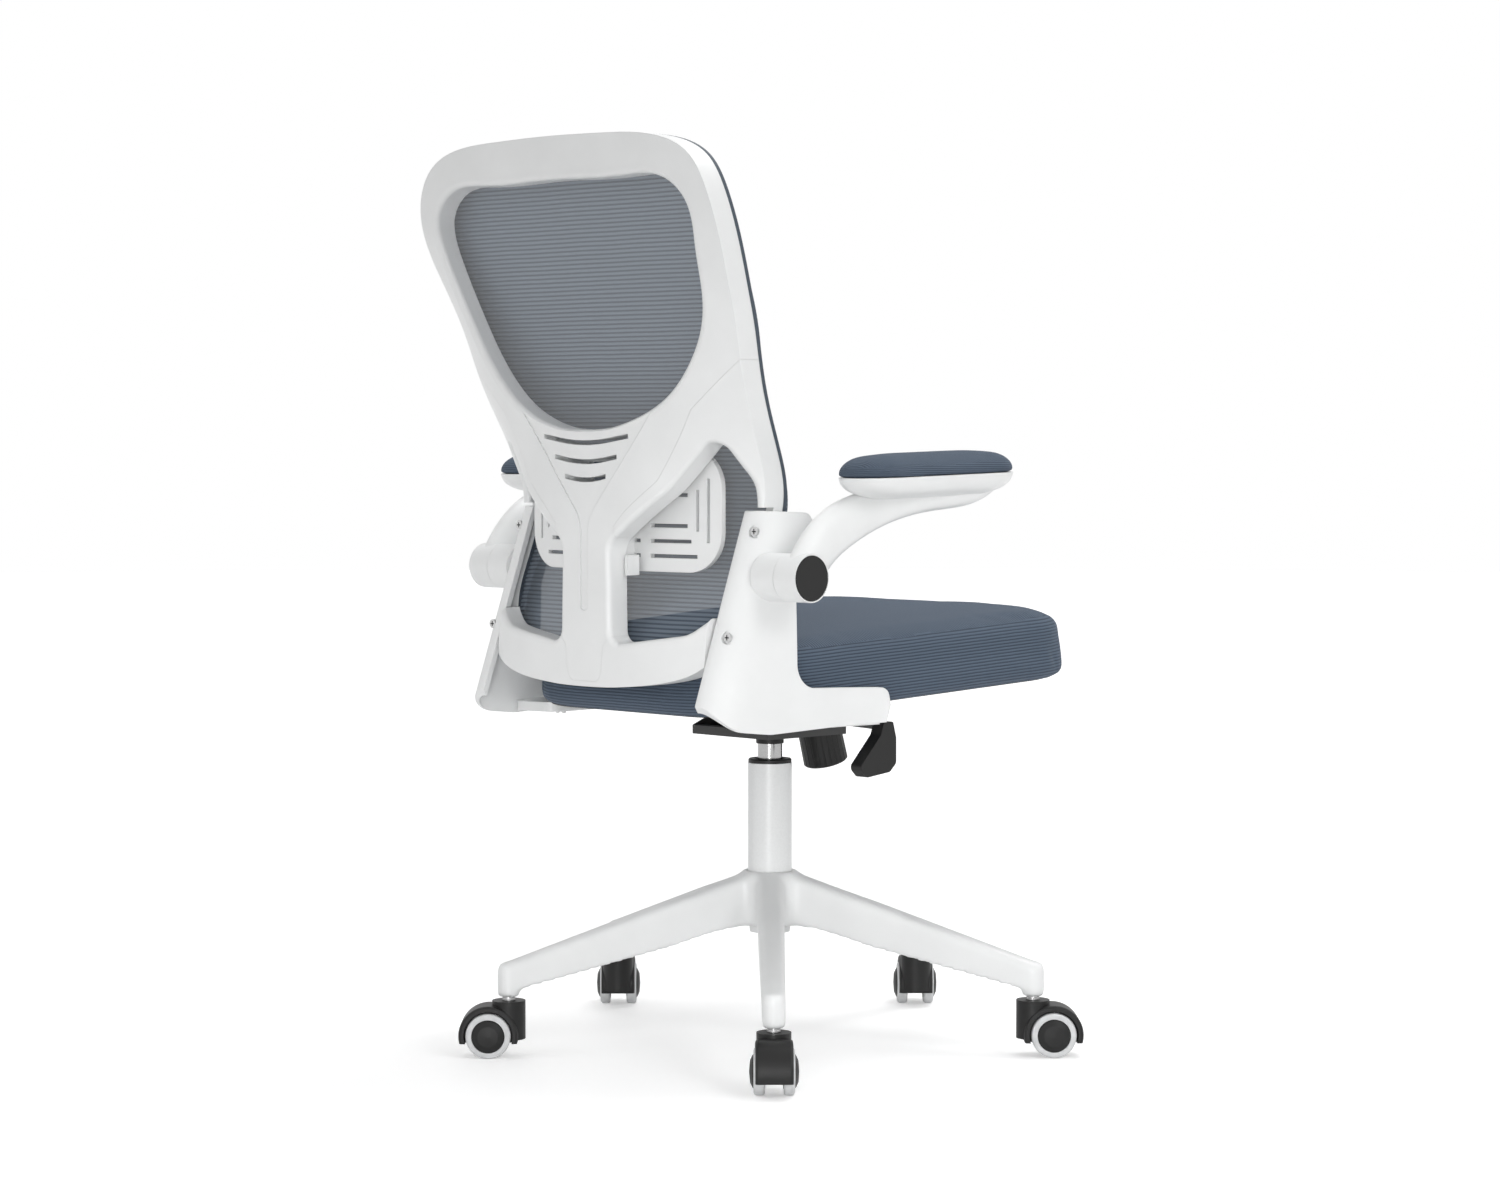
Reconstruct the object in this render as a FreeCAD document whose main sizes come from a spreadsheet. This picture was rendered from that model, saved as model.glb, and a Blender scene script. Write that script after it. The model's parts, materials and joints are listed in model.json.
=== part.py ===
"""Office chair with a mesh back, flip-up arms and a five-leg caster base, in millimetres.

The frame has +Z up and its origin on the floor under the swivel axis. The chair faces -Y, so its
right arm is at -X.
"""
import FreeCAD
import Part
import Sketcher
import math
import os

Vector = FreeCAD.Vector
Placement = FreeCAD.Placement
Rotation = FreeCAD.Rotation
X_AXIS = Vector(1, 0, 0)
Y_AXIS = Vector(0, 1, 0)
Z_AXIS = Vector(0, 0, 1)

DIMENSIONS = {
    # base star
    "leg_count": 5,
    "base_turn": 136.6,
    "hub_top": 196,
    "hub_bottom": 134,
    "hub_radius": 35,
    "leg_root_reach": 22,
    "leg_root_width": 31,
    "leg_tip_width": 25,
    "leg_root_top": 197,
    "leg_root_bottom": 136,
    "leg_tip_top": 105.5,
    "leg_tip_bottom": 73,
    "leg_edge_radius": 9,
    "leg_wall": 4.5,
    "stem_circle": 305.6,
    "boss_radius": 11.3,
    "boss_bottom": 66.2,
    # casters
    "stem_radius": 5.5,
    "stem_bottom": 36,
    "stem_top": 100,
    "stem_collar_radius": 7.2,
    "caster_trail": 22,
    "wheel_radius": 25,
    "rim_radius": 18.4,
    "wheel_inside": 9.4,
    "tyre_inside": 9.8,
    "tyre_outside": 21.8,
    "cap_bulge": 26.3,
    "axle_radius": 3,
    "hood_radius": 33,
    "hood_width": 40,
    "hood_rim": 6,
    "hood_skirt": 16.5,
    "barrel_radius": 18.5,
    "barrel_top": 62.5,
    # gas column
    "tube_radius": 25,
    "tube_wall": 2,
    "tube_top": 318,
    "tube_bottom": 126,
    "tube_taper": 1.2,
    "bush_bottom": 226,
    "bush_top": 322.7,
    "bush_flange": 24.4,
    "cylinder_radius": 14,
    "cylinder_bottom": 152,
    "cylinder_top": 369,
    "cone_radius": 13.3,
    "ring_radius": 15.7,
    "ring_bottom": 339.8,
    "ring_top": 348.9,
    "rod_radius": 5,
    "rod_bottom": 112,
    "piston_bottom": 298,
    "piston_top": 312,
    "pin_radius": 4,
    "pin_top": 371.5,
    # tilt mechanism
    "housing_floor": 350.5,
    "housing_step": 377,
    "housing_half_width": 62,
    "sheet_gauge": 3,
    "socket_radius": 21,
    "pivot_y": -38,
    "pivot_z": 372,
    "pivot_radius": 5,
    "plate_half_width": 100,
    "plate_rear": 105,
    "plate_front": -110,
    "bolt_lean": 16,
    "bolt_foot_y": -90,
    "bolt_foot_z": 313,
    "bolt_radius": 4,
    "knob_radius": 25.5,
    "knob_height": 40,
    "knob_wall": 3,
    "knob_ribs": 24,
    "spring_radius": 10.5,
    "spring_wire": 1.6,
    "spring_length": 51.4,
    "lever_y": 10,
    "lever_end_x": -188,
    "lever_end_z": 370,
    "lever_pivot_x": -58,
    "lever_radius": 4,
    "lever_play": 0.8,
    # seat
    "seat_height": 400,
    "seat_tilt": 3.5,
    "seat_front": -276,
    "seat_rear": 231,
    "seat_front_half": 243,
    "seat_rear_half": 195.5,
    "seat_front_corner": 75,
    "seat_rear_corner": 110,
    "cushion_thick": 74,
    "cushion_crown": 24,
    "cushion_under": 14,
    "pan_inset": 16,
    "pan_thick": 12,
    # back
    "spine_y": 279,
    "crown_rise": 51,
    "crown_low": 670,
    "crown_high": 920,
    "drop_side": 33,
    "drop_top": 7,
    "drop_lumbar": 55,
    "lumbar_height": 612,
    "lumbar_spread": 85,
    "frame_depth": 27,
    "frame_edge": 6,
    "carrier_depth": 5,
    "mesh_gauge": 1.6,
    "spine_half": 38,
    "foot_depth": 15,
    "web_recess": 1.6,
    "rebate_depth": 12,
    # side brackets and arms
    "bracket_wall": 7,
    "bracket_top": 609,
    "bracket_bottom": 376,
    "bracket_lean": 0.356,
    "flange_y": 263,
    "flange_z": 443,
    "arm_pivot_y": 196,
    "arm_pivot_z": 539.5,
    "arm_hub_radius": 25.5,
    "arm_inner_x": -232.3,
    "arm_outer_x": -264,
    "boss_inner_x": -198,
    "cap_radius": 24,
    "pad_x": -276,
    "pad_y": 35,
    "pad_seam": 646,
    "pad_length": 230,
    "pad_width": 84,
    "pad_tilt": 1.5,
}
CASTER_TURNS = (0, 18, 36, -36, -18)

doc = FreeCAD.newDocument("office_chair")
sheet = doc.addObject("Spreadsheet::Sheet", "dims")
nodes = {}


def fill_sheet():
    for row, (alias, value) in enumerate(DIMENSIONS.items(), start=1):
        sheet.set(f"A{row}", alias)
        sheet.set(f"B{row}", str(value))
        sheet.setAlias(f"B{row}", alias)
    doc.recompute()


def dim(alias):
    return float(sheet.get(alias))


def bind(thing, prop, expression):
    thing.setExpression(prop, expression)
    return thing


def keep(thing, label):
    """Registers a finished sub-part under its node name."""
    thing.Label = label
    nodes[label] = thing
    return thing


# Sketches and bodies

def new_body(name):
    return doc.addObject("PartDesign::Body", name)


def origin_part(body, role):
    return next(item for item in body.Origin.OriginFeatures if item.Role == role)


def body_sketch(body, name, role, offset=None):
    """A sketch on one of the body's origin planes, moved off it by an expression."""
    sketch = body.newObject("Sketcher::SketchObject", name)
    sketch.AttachmentSupport = [(origin_part(body, role), "")]
    sketch.MapMode = "FlatFace"
    if offset:
        bind(sketch, "AttachmentOffset.Base.z", offset)
    return sketch


def loose_sketch(name, placement=Placement()):
    sketch = doc.addObject("Sketcher::SketchObject", name)
    sketch.Placement = placement
    return sketch


def fix(sketch, constraint, expression):
    """Adds a dimension to the sketch and ties it to the sheet."""
    index = sketch.addConstraint(constraint)
    sketch.setExpression(f"Constraints[{index}]", expression)


def polygon(sketch, corners):
    """A closed polygon whose corner coordinates are expressions on the sheet."""
    points = [Vector(float(sketch.evalExpression(x)), float(sketch.evalExpression(y)), 0) for x, y in corners]
    first = sketch.GeometryCount
    count = len(points)
    for i in range(count):
        sketch.addGeometry(Part.LineSegment(points[i], points[(i + 1) % count]))
    for i in range(count):
        sketch.addConstraint(Sketcher.Constraint("Coincident", first + i, 2, first + (i + 1) % count, 1))
    for i, (x, y) in enumerate(corners):
        fix(sketch, Sketcher.Constraint("DistanceX", -1, 1, first + i, 1, points[i].x), x)
        fix(sketch, Sketcher.Constraint("DistanceY", -1, 1, first + i, 1, points[i].y), y)


def circle(sketch, x, y, radius):
    centre = Vector(float(sketch.evalExpression(x)), float(sketch.evalExpression(y)), 0)
    size = float(sketch.evalExpression(radius))
    index = sketch.addGeometry(Part.Circle(centre, Z_AXIS, size))
    fix(sketch, Sketcher.Constraint("DistanceX", -1, 1, index, 3, centre.x), x)
    fix(sketch, Sketcher.Constraint("DistanceY", -1, 1, index, 3, centre.y), y)
    fix(sketch, Sketcher.Constraint("Radius", index, size), radius)


def curve(sketch, points, start=None, end=None):
    """One smooth spline through the points, with its end directions if given."""
    spline = Part.BSplineCurve()
    path = [Vector(x, y, 0) for x, y in points]
    if start is None:
        spline.interpolate(path)
    else:
        spline.interpolate(Points=path, InitialTangent=start, FinalTangent=end)
    sketch.addGeometry(spline)


def mirrored_outline(sketch, half):
    """A smooth closed outline from its right half, which starts and ends on the centre line."""
    curve(sketch, half, Vector(1, 0, 0), Vector(-1, 0, 0))
    curve(sketch, [(-x, z) for x, z in half], Vector(-1, 0, 0), Vector(1, 0, 0))


def rounded_chain(sketch, corners):
    """A closed outline of straight runs with a fillet arc at each corner (x, y, radius)."""
    points = [Vector(x, y, 0) for x, y, _ in corners]
    starts, ends, arcs = [], [], []
    for i, (_, _, radius) in enumerate(corners):
        here = points[i]
        back = (points[i - 1] - here).normalize()
        ahead = (points[(i + 1) % len(points)] - here).normalize()
        if radius == 0:
            starts.append(here)
            ends.append(here)
            arcs.append(None)
            continue
        half_angle = back.getAngle(ahead) / 2
        reach = radius / math.tan(half_angle)
        middle = here + (back + ahead).normalize() * (radius / math.sin(half_angle) - radius)
        starts.append(here + back * reach)
        ends.append(here + ahead * reach)
        arcs.append(Part.Arc(starts[-1], middle, ends[-1]))
    for i in range(len(points)):
        if arcs[i]:
            sketch.addGeometry(arcs[i])
        sketch.addGeometry(Part.LineSegment(ends[i], starts[(i + 1) % len(points)]))


def turned(name, corners):
    """A body of revolution about Z from corners (radius, height)."""
    body = new_body(name + "_body")
    sketch = body_sketch(body, name + "_section", "XZ_Plane")
    polygon(sketch, corners)
    feature = body.newObject("PartDesign::Revolution", name + "_turn")
    feature.Profile = sketch
    feature.ReferenceAxis = (sketch, ["V_Axis"])
    feature.Angle = 360
    return body


def padded(body, name, sketch, length, both_ways=False):
    feature = body.newObject("PartDesign::Pad", name)
    feature.Profile = sketch
    bind(feature, "Length", length)
    feature.Midplane = both_ways
    return feature


def pocketed(body, name, sketch, length, both_ways=False, reverse=False):
    feature = body.newObject("PartDesign::Pocket", name)
    feature.Profile = sketch
    bind(feature, "Length", length)
    feature.Midplane = both_ways
    feature.Reversed = reverse
    return feature


# Part primitives and booleans

def cylinder(name, radius, height, base, direction=Z_AXIS):
    thing = doc.addObject("Part::Cylinder", name)
    bind(thing, "Radius", radius)
    bind(thing, "Height", height)
    thing.Placement = Placement(base, Rotation(Z_AXIS, direction))
    return thing


def box(name, low, high):
    thing = doc.addObject("Part::Box", name)
    thing.Length, thing.Width, thing.Height = (high[i] - low[i] for i in range(3))
    thing.Placement = Placement(Vector(*low), Rotation())
    return thing


def fused(name, things):
    result = doc.addObject("Part::MultiFuse", name)
    result.Shapes = things
    return result


def cut(name, base, tools):
    result = doc.addObject("Part::Cut", name)
    result.Base = base
    result.Tool = tools[0] if len(tools) == 1 else fused(name + "_tools", tools)
    return result


def common(name, things):
    result = doc.addObject("Part::MultiCommon", name)
    result.Shapes = things
    return result


def extruded(name, sketch, direction, forward, backward=0):
    thing = doc.addObject("Part::Extrusion", name)
    thing.Base = sketch
    thing.DirMode = "Custom"
    thing.Dir = direction
    thing.LengthFwd = forward
    thing.LengthRev = backward
    thing.Solid = True
    return thing


def mirrored(name, source, normal=X_AXIS):
    thing = doc.addObject("Part::Mirroring", name)
    thing.Source = source
    thing.Normal = normal
    thing.Base = Vector(0, 0, 0)
    return thing


def group(name, things, placement=Placement()):
    thing = doc.addObject("Part::Compound", name)
    thing.Links = things
    thing.Placement = placement
    return thing


def rounded_edges(name, base, radius, choose):
    """Fillets the edges of the base that the chooser picks."""
    doc.recompute()
    thing = doc.addObject("Part::Fillet", name)
    thing.Base = base
    picked = [i for i, edge in enumerate(base.Shape.Edges, start=1) if choose(edge)]
    thing.Edges = [(i, radius, radius) for i in picked]
    return thing


# Base star

def leg_section(body, name, reach, width, bottom, top):
    """An upside-down trough section of a leg: flat below, rounded along its upper edges."""
    sketch = body_sketch(body, name, "YZ_Plane", reach)
    half = float(sketch.evalExpression(width)) / 2
    low = float(sketch.evalExpression(bottom))
    high = float(sketch.evalExpression(top))
    edge = dim("leg_edge_radius")
    right = Vector(half - edge, high - edge, 0)
    left = Vector(edge - half, high - edge, 0)
    lines = [
        Part.LineSegment(Vector(-half, low, 0), Vector(half, low, 0)),
        Part.LineSegment(Vector(half, low, 0), Vector(half, high - edge, 0)),
        Part.ArcOfCircle(Part.Circle(right, Z_AXIS, edge), 0, math.pi / 2),
        Part.LineSegment(Vector(half - edge, high, 0), Vector(edge - half, high, 0)),
        Part.ArcOfCircle(Part.Circle(left, Z_AXIS, edge), math.pi / 2, math.pi),
        Part.LineSegment(Vector(-half, high - edge, 0), Vector(-half, low, 0)),
    ]
    for line in lines:
        sketch.addGeometry(line)
    for here in range(len(lines)):
        sketch.addConstraint(Sketcher.Constraint("Coincident", here, 2, (here + 1) % len(lines), 1))
    sketch.addConstraint(Sketcher.Constraint("Symmetric", 0, 1, 0, 2, -2))
    fix(sketch, Sketcher.Constraint("DistanceX", 0, 1, 0, 2, 2 * half), width)
    fix(sketch, Sketcher.Constraint("DistanceY", -1, 1, 0, 1, low), bottom)
    return sketch


def make_base_star():
    body = new_body("base_star_body")
    hub = body_sketch(body, "hub_section", "XZ_Plane")
    polygon(hub, [
        ("dims.tube_radius + 0.05", "dims.hub_top"),
        ("dims.hub_radius - 4", "dims.hub_top"),
        ("dims.hub_radius", "dims.hub_top - 6"),
        ("dims.hub_radius", "dims.hub_bottom"),
        ("dims.tube_radius - dims.tube_taper + 0.05", "dims.hub_bottom"),
    ])
    turn = body.newObject("PartDesign::Revolution", "hub")
    turn.Profile = hub
    turn.ReferenceAxis = (hub, ["V_Axis"])
    turn.Angle = 360

    root = leg_section(body, "leg_root", "dims.leg_root_reach + 6", "dims.leg_root_width",
                       "dims.leg_root_bottom", "dims.leg_root_top - 2")
    tip = leg_section(body, "leg_tip", "dims.stem_circle", "dims.leg_tip_width",
                      "dims.leg_tip_bottom", "dims.leg_tip_top")
    leg = body.newObject("PartDesign::AdditiveLoft", "leg")
    leg.Profile = root
    leg.Sections = [tip]
    leg.Ruled = True

    boss_section = body_sketch(body, "boss_section", "XZ_Plane")
    bind(boss_section, "AttachmentOffset.Base.x", "dims.stem_circle")
    polygon(boss_section, [
        ("0", "dims.boss_bottom"),
        ("dims.boss_radius", "dims.boss_bottom"),
        ("dims.leg_tip_width / 2", "dims.leg_tip_bottom"),
        ("dims.leg_tip_width / 2", "dims.leg_tip_top - dims.leg_edge_radius"),
        ("dims.leg_tip_width / 2 - 2.6", "dims.leg_tip_top - 2.6"),
        ("dims.leg_tip_width / 2 - dims.leg_edge_radius", "dims.leg_tip_top"),
        ("0", "dims.leg_tip_top"),
    ])
    boss = body.newObject("PartDesign::Revolution", "stem_boss")
    boss.Profile = boss_section
    boss.ReferenceAxis = (boss_section, ["V_Axis"])
    boss.Angle = 360

    hollow_plan = body_sketch(body, "leg_hollow_side", "XZ_Plane")
    cells = ((52, 118), (124, 196), (202, 286))
    for start, end in cells:
        polygon(hollow_plan, [(str(start), "dims.boss_bottom"), (str(end), "dims.boss_bottom"),
                              (str(end), hollow_ceiling(end)), (str(start), hollow_ceiling(start))])
    hollow = pocketed(body, "leg_hollow", hollow_plan, "dims.leg_tip_width - 2 * dims.leg_wall", True)

    socket_plan = body_sketch(body, "socket_plan", "XY_Plane", "dims.boss_bottom")
    circle(socket_plan, "dims.stem_circle", "0", "dims.stem_radius + 0.03")
    socket = pocketed(body, "stem_socket", socket_plan, "dims.stem_top + 0.5 - dims.boss_bottom", False, True)

    star = body.newObject("PartDesign::PolarPattern", "five_legs")
    star.Originals = [leg, boss, hollow, socket]
    star.Axis = (origin_part(body, "Z_Axis"), [""])
    star.Angle = 360
    bind(star, "Occurrences", "dims.leg_count")
    body.Tip = star

    bore_plan = body_sketch(body, "column_bore_section", "XZ_Plane")
    polygon(bore_plan, [
        ("0", "dims.hub_top + 4"),
        ("dims.tube_radius + 0.05", "dims.hub_top + 4"),
        ("dims.tube_radius + 0.05", "dims.hub_top"),
        ("dims.tube_radius - dims.tube_taper + 0.05", "dims.hub_bottom"),
        ("dims.tube_radius - dims.tube_taper + 0.05", "dims.hub_bottom - 8"),
        ("0", "dims.hub_bottom - 8"),
    ])
    bore = body.newObject("PartDesign::Groove", "column_bore")
    bore.Profile = bore_plan
    bore.ReferenceAxis = (bore_plan, ["V_Axis"])
    bore.Angle = 360
    body.Tip = bore
    bind(body, "Placement.Rotation.Angle", "dims.base_turn")
    return keep(body, "base_star")


def hollow_ceiling(reach):
    """Height of the leg's inside roof at a reach, one wall below its upper line."""
    slope = "(dims.leg_root_top - dims.leg_tip_top) / (dims.stem_circle - dims.leg_root_reach)"
    return f"dims.leg_root_top - dims.leg_wall - 4 - ({reach} - dims.leg_root_reach) * {slope}"


# Casters

def leg_angle(index):
    return dim("base_turn") + index * 360 / dim("leg_count")


def stem_place(index):
    angle = math.radians(leg_angle(index))
    return Vector(math.cos(angle), math.sin(angle), 0) * dim("stem_circle")


def make_stem():
    return turned("stem", [
        ("0", "dims.stem_bottom"),
        ("dims.stem_radius", "dims.stem_bottom"),
        ("dims.stem_radius", "dims.barrel_top + 0.6"),
        ("dims.stem_collar_radius", "dims.barrel_top + 0.6"),
        ("dims.stem_collar_radius", "dims.boss_bottom - 0.4"),
        ("dims.stem_radius", "dims.boss_bottom - 0.4"),
        ("dims.stem_radius", "dims.stem_top - 2"),
        ("dims.stem_radius - 2", "dims.stem_top"),
        ("0", "dims.stem_top"),
    ])


def across(name, radius, low, high):
    """A cylinder along Y through the wheel centre, between two distances from the caster's middle."""
    centre = Vector(dim("caster_trail"), low, dim("wheel_radius"))
    return cylinder(name, radius, str(high - low), centre, Y_AXIS)


def make_hood():
    half = dim("hood_width") / 2
    skirt = dim("hood_skirt")
    barrel = cylinder("hood_barrel", "dims.barrel_radius", "dims.barrel_top - 20", Vector(0, 0, 20))
    drum = turned("hood_drum", [
        ("0", "-dims.hood_width / 2"),
        ("dims.hood_radius - 3", "-dims.hood_width / 2"),
        ("dims.hood_radius - 0.8", "-dims.hood_width / 2 + 0.8"),
        ("dims.hood_radius", "-dims.hood_width / 2 + 3"),
        ("dims.hood_radius", "dims.hood_width / 2 - 3"),
        ("dims.hood_radius - 0.8", "dims.hood_width / 2 - 0.8"),
        ("dims.hood_radius - 3", "dims.hood_width / 2"),
        ("0", "dims.hood_width / 2"),
    ])
    drum.Placement = Placement(Vector(dim("caster_trail"), 0, dim("wheel_radius")), Rotation(Z_AXIS, Y_AXIS))
    pocket = "dims.hood_radius - dims.hood_rim"
    web = dim("wheel_inside") - 0.6
    tools = [
        across("wheel_space_out", pocket, web, half + 8),
        across("wheel_space_in", pocket, -half - 8, -web),
        across("axle_bore", "dims.axle_radius + 0.05", -half, half),
        cylinder("stem_bore", "dims.stem_radius + 0.05", "40", Vector(0, 0, dim("stem_bottom") - 1)),
        box("hood_below", (-40, -40, -10), (80, 40, skirt)),
    ]
    return cut("hood", fused("hood_mass", [barrel, drum]), tools)


def make_wheel():
    return turned("wheel", [
        ("dims.axle_radius + 0.02", "dims.wheel_inside"),
        ("dims.rim_radius - 0.02", "dims.wheel_inside"),
        ("dims.rim_radius - 0.02", "dims.tyre_outside - 0.6"),
        ("dims.rim_radius - 1.4", "dims.tyre_outside + 1"),
        ("dims.rim_radius * 0.62", "dims.cap_bulge - 0.9"),
        ("0", "dims.cap_bulge"),
        ("0", "dims.tyre_outside - 1.6"),
        ("dims.axle_radius + 0.02", "dims.tyre_outside - 1.6"),
    ])


def make_tyre():
    return turned("tyre", [
        ("dims.rim_radius", "dims.tyre_inside"),
        ("dims.wheel_radius - 1.6", "dims.tyre_inside"),
        ("dims.wheel_radius", "dims.tyre_inside + 1.6"),
        ("dims.wheel_radius", "dims.tyre_outside - 3"),
        ("dims.wheel_radius - 0.9", "dims.tyre_outside - 0.9"),
        ("dims.wheel_radius - 3", "dims.tyre_outside"),
        ("dims.rim_radius", "dims.tyre_outside"),
    ])


def make_casters():
    stem = make_stem()
    hood = make_hood()
    wheel = make_wheel()
    tyre = make_tyre()
    wheel_pair = [wheel, mirrored("wheel_inner", wheel, Z_AXIS)]
    tyre_pair = [tyre, mirrored("tyre_inner", tyre, Z_AXIS)]
    axle_half = "dims.tyre_outside - 1.8"
    axle = cylinder("axle", "dims.axle_radius", f"2 * ({axle_half})", Vector(0, 0, 1.8 - dim("tyre_outside")))
    stems = []
    hub = Placement(Vector(dim("caster_trail"), 0, dim("wheel_radius")), Rotation(Z_AXIS, Y_AXIS))
    for index, turn in enumerate(CASTER_TURNS):
        number = index + 1
        stems.append(group(f"stem_{number}", [stem], Placement(stem_place(index), Rotation())))
        caster = Placement(stem_place(index), Rotation(Z_AXIS, leg_angle(index) + turn))
        keep(group(f"hood_{number}", [hood], caster), f"caster_{number}_hood")
        keep(group(f"axle_{number}", [axle], caster.multiply(hub)), f"caster_{number}_axle")
        keep(group(f"wheels_{number}", wheel_pair, caster.multiply(hub)), f"caster_{number}_wheels")
        keep(group(f"tyres_{number}", tyre_pair, caster.multiply(hub)), f"caster_{number}_tyres")
    keep(group("stem_set", stems), "caster_stems")


# Gas column

def make_column():
    keep(turned("tube", [
        ("dims.rod_radius + 0.3", "dims.tube_bottom"),
        ("dims.tube_radius - dims.tube_taper - 1", "dims.tube_bottom"),
        ("dims.tube_radius - dims.tube_taper", "dims.hub_bottom"),
        ("dims.tube_radius", "dims.hub_top"),
        ("dims.tube_radius", "dims.tube_top"),
        ("dims.tube_radius - dims.tube_wall", "dims.tube_top"),
        ("dims.tube_radius - dims.tube_wall", "dims.bush_bottom"),
        ("dims.tube_radius - dims.tube_taper - dims.tube_wall", "dims.bush_bottom - 20"),
        ("dims.tube_radius - dims.tube_taper - dims.tube_wall", "dims.tube_bottom + 4"),
        ("dims.rod_radius + 0.3", "dims.tube_bottom + 4"),
    ]), "column_tube")
    keep(turned("bush", [
        ("dims.cylinder_radius + 0.05", "dims.bush_bottom"),
        ("dims.tube_radius - dims.tube_wall - 0.02", "dims.bush_bottom"),
        ("dims.tube_radius - dims.tube_wall - 0.02", "dims.tube_top"),
        ("dims.bush_flange", "dims.tube_top"),
        ("dims.bush_flange", "dims.bush_top - 1"),
        ("dims.bush_flange - 1", "dims.bush_top"),
        ("dims.cylinder_radius + 5", "dims.bush_top"),
        ("dims.cylinder_radius + 0.05", "dims.bush_top - 3"),
    ]), "guide_bush")
    keep(turned("bearing", [
        ("dims.rod_radius + 0.3", "dims.tube_bottom + 4"),
        ("dims.rod_radius + 7", "dims.tube_bottom + 4"),
        ("dims.rod_radius + 7", "dims.tube_bottom + 10.5"),
        ("dims.rod_radius + 0.3", "dims.tube_bottom + 10.5"),
    ]), "thrust_bearing")
    keep(turned("piston", [
        ("0", "dims.rod_bottom"),
        ("dims.rod_radius", "dims.rod_bottom"),
        ("dims.rod_radius", "dims.tube_bottom - 5"),
        ("dims.rod_radius - 1", "dims.tube_bottom - 5"),
        ("dims.rod_radius - 1", "dims.tube_bottom - 3"),
        ("dims.rod_radius", "dims.tube_bottom - 3"),
        ("dims.rod_radius", "dims.tube_bottom + 11"),
        ("dims.rod_radius + 4", "dims.tube_bottom + 11"),
        ("dims.rod_radius + 4", "dims.tube_bottom + 15"),
        ("dims.rod_radius", "dims.tube_bottom + 15"),
        ("dims.rod_radius", "dims.piston_bottom"),
        ("dims.cylinder_radius - 2.05", "dims.piston_bottom"),
        ("dims.cylinder_radius - 2.05", "dims.piston_top"),
        ("0", "dims.piston_top"),
    ]), "piston_rod")
    keep(turned("clip", [
        ("dims.rod_radius - 0.98", "dims.tube_bottom - 4.8"),
        ("dims.rod_radius + 3", "dims.tube_bottom - 4.8"),
        ("dims.rod_radius + 3", "dims.tube_bottom - 3.2"),
        ("dims.rod_radius - 0.98", "dims.tube_bottom - 3.2"),
    ]), "rod_clip")
    keep(turned("gas", [
        ("dims.rod_radius + 0.05", "dims.cylinder_bottom"),
        ("dims.cylinder_radius - 1", "dims.cylinder_bottom"),
        ("dims.cylinder_radius", "dims.cylinder_bottom + 2"),
        ("dims.cylinder_radius", "dims.ring_top + 1"),
        ("dims.cone_radius", "dims.cylinder_top"),
        ("dims.pin_radius + 0.05", "dims.cylinder_top"),
        ("dims.pin_radius + 0.05", "dims.ring_bottom"),
        ("dims.cylinder_radius - 2", "dims.ring_bottom"),
        ("dims.cylinder_radius - 2", "dims.cylinder_bottom + 8"),
        ("dims.rod_radius + 0.05", "dims.cylinder_bottom + 8"),
    ]), "gas_cylinder")
    keep(turned("ring", [
        ("dims.cylinder_radius + 0.02", "dims.ring_bottom"),
        ("dims.ring_radius - 0.6", "dims.ring_bottom"),
        ("dims.ring_radius", "dims.ring_bottom + 0.6"),
        ("dims.ring_radius", "dims.ring_top"),
        ("dims.cylinder_radius + 0.02", "dims.ring_top"),
    ]), "dust_ring")
    keep(turned("release", [
        ("0", "dims.ring_bottom - 14"),
        ("dims.pin_radius", "dims.ring_bottom - 14"),
        ("dims.pin_radius", "dims.pin_top - 0.8"),
        ("dims.pin_radius - 0.8", "dims.pin_top"),
        ("0", "dims.pin_top"),
    ]), "release_pin")


# Tilt mechanism

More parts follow.
